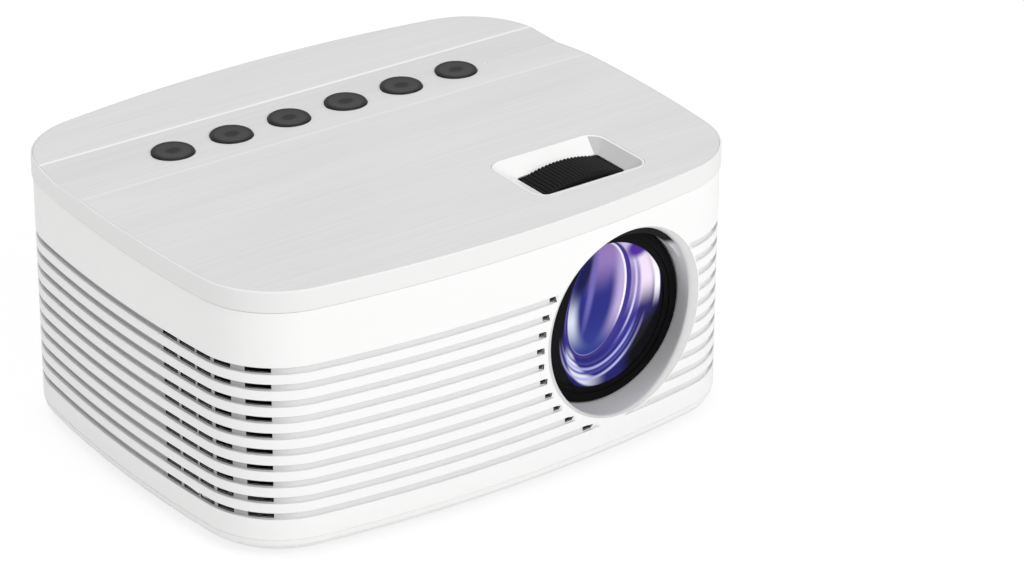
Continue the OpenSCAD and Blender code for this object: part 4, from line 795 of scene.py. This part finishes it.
for well in wells:
    cover_parts.append(skin(np.array([lifted(well, BED_Z), lifted(well, UNDER_Z)])))
window_loops = [
    (upstand, BED_Z), (upstand, TOP - 0.15 * MM),
    (soft_rect(LENS_X, WINDOW_Y, 48.6 * MM, 33.1 * MM, 6.45 * MM), TOP),
    (soft_rect(LENS_X, WINDOW_Y, 47.9 * MM, 32.4 * MM, 6.2 * MM), TOP),
    (soft_rect(LENS_X, WINDOW_Y, 47.3 * MM, 31.8 * MM, 5.9 * MM), TOP - 0.3 * MM),
    (soft_rect(LENS_X, WHEEL_Y, 35.5 * MM, 17.4 * MM, 1.5 * MM), TOP - 3.2 * MM),
    (soft_rect(LENS_X, WHEEL_Y, 35.5 * MM, 17.4 * MM, 1.5 * MM), TOP - 3.5 * MM),
    (room, TOP - 3.5 * MM), (room, UNDER_Z),
]
# The lid is painted a darker white than the case's white ABS, as painted shade on its band and rolled edge;
# its window keeps the plain white
cover_white_painted_shade = finish("cover_white_painted_shade", (0.78, 0.78, 0.775), 0.42, tone=0.006, height=0.006,
                     Specular_IOR_Level=0.4)
bevel_shade = finish("bevel_shade", (0.5, 0.5, 0.5), 0.5)
# The right side of the window's bevel is in shade: the columns on both sides of the loops' start
BEVEL_ROW, SHADE_COLUMNS = 4, 6
window_shade = np.ones((len(window_loops) - 1, len(room)), int)
window_shade[BEVEL_ROW, :SHADE_COLUMNS] = 2
window_shade[BEVEL_ROW, -SHADE_COLUMNS:] = 2
cover_parts.append(skin(np.array([lifted(loop, z) for loop, z in window_loops]), window_shade))
cover_finishes = [cover_white_painted_shade, white_abs, bevel_shade]
piece("top_shell", cover_parts, cover_finishes, "root", ["top_cover"])

# ---------------------------------------------------------------- grained panel
# Satin sheet with a fine grain along the width, glued flush into the top. It dips into a shallow
# valley for the buttons, and is cut out round them, the light and the wheel's window.
panel_loop = np.stack(outline(top_s, PANEL_INSET), axis=-1)
panel_lines = []
for way in valley_ways:
    k = np.abs(top_s - way).argmin()
    other = np.abs(top_s - (WAY - way)).argmin()
    panel_lines.append(panel_loop[[k, other]])
panel_window = soft_rect(LENS_X, WINDOW_Y, 49.1 * MM, 33.6 * MM, 6.7 * MM)
flat, triangles = sheet(panel_loop, [*wells, panel_window], panel_lines)
high = lifted(flat, TOP - valley_drop(flat[:, 1]))
low = lifted(flat, BED_Z + 0.02 * MM)
edges = np.concatenate([triangles[:, [0, 1]], triangles[:, [1, 2]], triangles[:, [2, 0]]])
_, first, uses = np.unique(np.sort(edges, axis=1), axis=0, return_index=True, return_counts=True)
rim = edges[first[uses == 1]]
panel_points = np.concatenate([high, low])
side = np.stack([rim[:, 1], rim[:, 0], rim[:, 0] + len(flat), rim[:, 1] + len(flat)], axis=-1)
panel_parts = [(panel_points, triangles, False, 0), (panel_points, triangles[:, ::-1] + len(flat), False, 0),
               (panel_points, side, True, 0)]

grained = finish("grained", (0.7, 0.7, 0.7), 0.42, tone=0.02, height=0.004)
nodes, links = grained.node_tree.nodes, grained.node_tree.links
place = nodes.new("ShaderNodeTexCoord")
mix = nodes.new("ShaderNodeMix")
mix.data_type = "RGBA"
mix.inputs[6].default_value = (0.67, 0.67, 0.67, 1)
mix.inputs[7].default_value = (0.73, 0.73, 0.73, 1)
# The grain: the sum of a coarse and a fine noise drawn out along the width, and of soft patches
streaks = []
for stretch in ((9, 620, 1), (22, 1500, 1), (7, 45, 1)):
    mapping = nodes.new("ShaderNodeMapping")
    mapping.inputs["Scale"].default_value = stretch
    noise = nodes.new("ShaderNodeTexNoise")
    noise.inputs["Scale"].default_value = 1.0
    noise.inputs["Detail"].default_value = 3.0
    links.new(place.outputs["Object"], mapping.inputs["Vector"])
    links.new(mapping.outputs["Vector"], noise.inputs["Vector"])
    streaks.append(noise.outputs["Fac"])
total = streaks[0]
for streak in streaks[1:]:
    both = nodes.new("ShaderNodeMath")
    both.operation = "ADD"
    links.new(total, both.inputs[0])
    links.new(streak, both.inputs[1])
    total = both.outputs[0]
spread = nodes.new("ShaderNodeMapRange")
spread.inputs["From Min"].default_value = 1.1
spread.inputs["From Max"].default_value = 1.9
links.new(total, spread.inputs["Value"])
links.new(spread.outputs["Result"], mix.inputs[0])
split = nodes.new("ShaderNodeSeparateXYZ")
links.new(place.outputs["Object"], split.inputs["Vector"])
bands = nodes.new("ShaderNodeValToRGB")
reach = nodes.new("ShaderNodeMapRange")
reach.inputs["From Min"].default_value = -HALF_D
reach.inputs["From Max"].default_value = HALF_D
links.new(split.outputs["Y"], reach.inputs["Value"])
links.new(reach.outputs["Result"], bands.inputs["Fac"])
# Painted light along the depth: a painted highlight line at each edge of the valley, and painted shade on its
# rear slope
painted_light_along_depth = [(-87, 0.98), (20.9, 0.99), (21.1, 1.1), (21.7, 1.1), (21.9, 1.01), (38.9, 1.0), (39.6, 0.93),
         (53.4, 0.95), (53.6, 1.3), (54.5, 1.3), (54.7, 0.98), (87, 0.98)]
BRIGHTEST = 1.3
while len(bands.color_ramp.elements) < len(painted_light_along_depth):
    bands.color_ramp.elements.new(0.5)
for element, (depth_at, tone_at) in zip(bands.color_ramp.elements, painted_light_along_depth):
    element.position = 0.5 + depth_at * MM / (2 * HALF_D)
    element.color = (*[tone_at / BRIGHTEST] * 3, 1)
scale_up = nodes.new("ShaderNodeVectorMath")
scale_up.operation = "SCALE"
scale_up.inputs["Scale"].default_value = BRIGHTEST
shaded = nodes.new("ShaderNodeVectorMath")
shaded.operation = "MULTIPLY"
links.new(bands.outputs["Color"], scale_up.inputs[0])
links.new(scale_up.outputs[0], shaded.inputs[0])
links.new(mix.outputs[2], shaded.inputs[1])
links.new(shaded.outputs[0], nodes["Principled BSDF"].inputs["Base Color"])
piece("grained_panel", panel_parts, [grained], "root", ["top_panel"])

# ---------------------------------------------------------------- tray front and light
# The tray's white front closes the notch in the rear wall. The eject button and a clear light
# pipe are separate mouldings.
eject_grey = finish("eject_grey", (0.5, 0.5, 0.51), 0.4)
light_pipe = finish("light_pipe", (0.7, 0.78, 0.95), 0.12, height=0.0004)
dress(white_abs, "tray_bezel")
dress(eject_grey, "eject_button")
dress(light_pipe, "status_light")

# ---------------------------------------------------------------- buttons
# Six round caps moulded in dark grey ABS, with a soft edge and a slightly dished top. A flange
# under the cover holds each in its well, and its stem stands on a switch of the button board.
HALF_PITCH = 12.3 * MM
button_grey = finish("button_grey", (0.03, 0.03, 0.031), 0.42, tone=0.06, height=0.01,
                     Specular_IOR_Level=0.3)
nodes, links = button_grey.node_tree.nodes, button_grey.node_tree.links
place = nodes.new("ShaderNodeTexCoord")
repeat = nodes.new("ShaderNodeVectorMath")
repeat.operation = "WRAP"
repeat.inputs[1].default_value = (BUTTON_X[0] + HALF_PITCH, 0, 0)
repeat.inputs[2].default_value = (BUTTON_X[0] - HALF_PITCH, 1, 1)
links.new(place.outputs["Object"], repeat.inputs[0])
own = nodes["Principled BSDF"].inputs["Base Color"]
# A dark mark in the middle of each cap, and a darker rim
for half_x, half_y, start, end, tone in ((2.9, 2.3, 1.25, 0.75, 0.002), (7, 7, 0.84, 0.96, 0.008)):
    halves = (half_x * MM, half_y * MM, ACROSS)
    way = oval_way(repeat.outputs[0], (BUTTON_X[0], BUTTON_Y, 0), halves)
    links.new(paint_over(own.links[0].from_socket, ramp(way, start, end), (tone, tone, tone)), own)
BUTTON_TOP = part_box("button_1")[1].z
BUTTON_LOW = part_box("button_1")[0].z
FLANGE_Z = UNDER_Z - 1.4 * MM
FLANGE_TOP = FLANGE_Z + 1.2 * MM
STEM_R, FLANGE_R, CAP_R = 1.6, 8.8, 7.8
CAP_FLAT, CAP_ROLL = 7.2, 0.6
CAP_POINTS = 64
bend = np.radians([0, 22, 45, 68, 90])
# Profile from the stem's foot over the flange and the side to the roll and the dished top
cap_r = np.concatenate([[0, STEM_R, STEM_R, FLANGE_R, FLANGE_R, CAP_R],
                        CAP_FLAT + CAP_ROLL * np.cos(bend), [6.4, 5, 3, 1, 0]])[:, None] * MM
cap_z = np.concatenate([[BUTTON_LOW, BUTTON_LOW, FLANGE_Z, FLANGE_Z, FLANGE_TOP, FLANGE_TOP],
                        BUTTON_TOP - CAP_ROLL * MM + CAP_ROLL * MM * np.sin(bend),
                        BUTTON_TOP - np.array([0.06, 0.14, 0.2, 0.22, 0.22]) * MM])
cap_height = np.repeat(cap_z[:, None], CAP_POINTS, axis=1)
cap_angle = np.linspace(0, 2 * math.pi, CAP_POINTS, endpoint=False)
for number, x in enumerate(BUTTON_X, 1):
    cap = [x + cap_r * np.cos(cap_angle), BUTTON_Y + cap_r * np.sin(cap_angle), cap_height]
    cap_parts = [skin(np.stack(cap, axis=-1))]
    piece("cap_%d" % number, cap_parts, [button_grey], "key_%d" % number,
          ["button_%d" % number])

# ---------------------------------------------------------------- camera, lamps and floor
# The camera stands where the photograph's did, with its long lens. The floor is a white card that
# holds the soft shadow, under an even white sky and three square soft lamps.
camera = bpy.data.objects.new("camera", bpy.data.cameras.new("camera"))
bpy.context.scene.collection.objects.link(camera)
bpy.context.scene.camera = camera
CAMERA_AT = Vector((-0.76988, -1.12723, 0.73366))
AZIMUTH, ELEVATION, ROLL_TURN = math.radians(-36.355), math.radians(26.799), math.radians(0.406)
FOCAL_LENGTH = 148.74
back = Vector((math.sin(AZIMUTH) * math.cos(ELEVATION), -math.cos(AZIMUTH) * math.cos(ELEVATION),
               math.sin(ELEVATION)))
camera.location = CAMERA_AT
camera.rotation_mode = "QUATERNION"
camera.rotation_quaternion = (-back).to_track_quat("-Z", "Y") @ Quaternion((0, 0, 1), ROLL_TURN)
camera.data.lens = FOCAL_LENGTH
camera.data.sensor_width = 36.0
camera.data.clip_start = 0.05
camera.data.clip_end = 50

floor_mesh = bpy.data.meshes.new("floor")
floor_mesh.from_pydata([(-4, -4, 0), (4, -4, 0), (4, 4, 0), (-4, 4, 0)], [], [(0, 1, 2, 3)])
floor = bpy.data.objects.new("floor", floor_mesh)
bpy.context.scene.collection.objects.link(floor)
floor_white = bpy.data.materials.new("floor_white")
floor_white.use_nodes = True
nodes, links = floor_white.node_tree.nodes, floor_white.node_tree.links
nodes["Principled BSDF"].inputs["Base Color"].default_value = (0.9, 0.9, 0.9, 1)
nodes["Principled BSDF"].inputs["Roughness"].default_value = 0.9
glow = nodes.new("ShaderNodeEmission")
blend = nodes.new("ShaderNodeMixShader")
seen = nodes.new("ShaderNodeLightPath")
part_seen = nodes.new("ShaderNodeMath")
part_seen.operation = "MULTIPLY"
part_seen.inputs[1].default_value = 0.72
links.new(seen.outputs["Is Camera Ray"], part_seen.inputs[0])
links.new(part_seen.outputs[0], blend.inputs[0])
links.new(nodes["Principled BSDF"].outputs[0], blend.inputs[1])
links.new(glow.outputs[0], blend.inputs[2])
links.new(blend.outputs[0], nodes["Material Output"].inputs["Surface"])
glow.inputs["Strength"].default_value = 1.08
floor_mesh.materials.append(floor_white)

world = bpy.data.worlds.new("world")
bpy.context.scene.world = world
world.use_nodes = True
sky, links = world.node_tree.nodes, world.node_tree.links
sky["Background"].inputs["Color"].default_value = (1, 1, 1, 1)
rays = sky.new("ShaderNodeLightPath")
seen = sky.new("ShaderNodeMix")
seen.inputs[2].default_value = 0.62
seen.inputs[3].default_value = 1.0
links.new(rays.outputs["Is Camera Ray"], seen.inputs[0])
links.new(seen.outputs[0], sky["Background"].inputs["Strength"])
CASE_MIDDLE = Vector((0, 0, 0.05))


def lamp(name, place, size, power):
    """Square soft lamp at a place, turned to the middle of the case."""
    light = bpy.data.objects.new(name, bpy.data.lights.new(name, "AREA"))
    light.data.size = size
    light.data.energy = power
    light.location = place
    light.rotation_mode = "QUATERNION"
    light.rotation_quaternion = (CASE_MIDDLE - Vector(place)).to_track_quat("-Z", "Y")
    bpy.context.scene.collection.objects.link(light)


lamp("front_lamp", (0.35, -1.5, 0.9), 0.9, 12.2)
lamp("left_lamp", (-1.5, -0.2, 0.5), 0.9, 2.4)
lamp("top_lamp", (-0.2, 0.4, 1.6), 1.1, 7)
bpy.context.scene.view_settings.view_transform = "Standard"
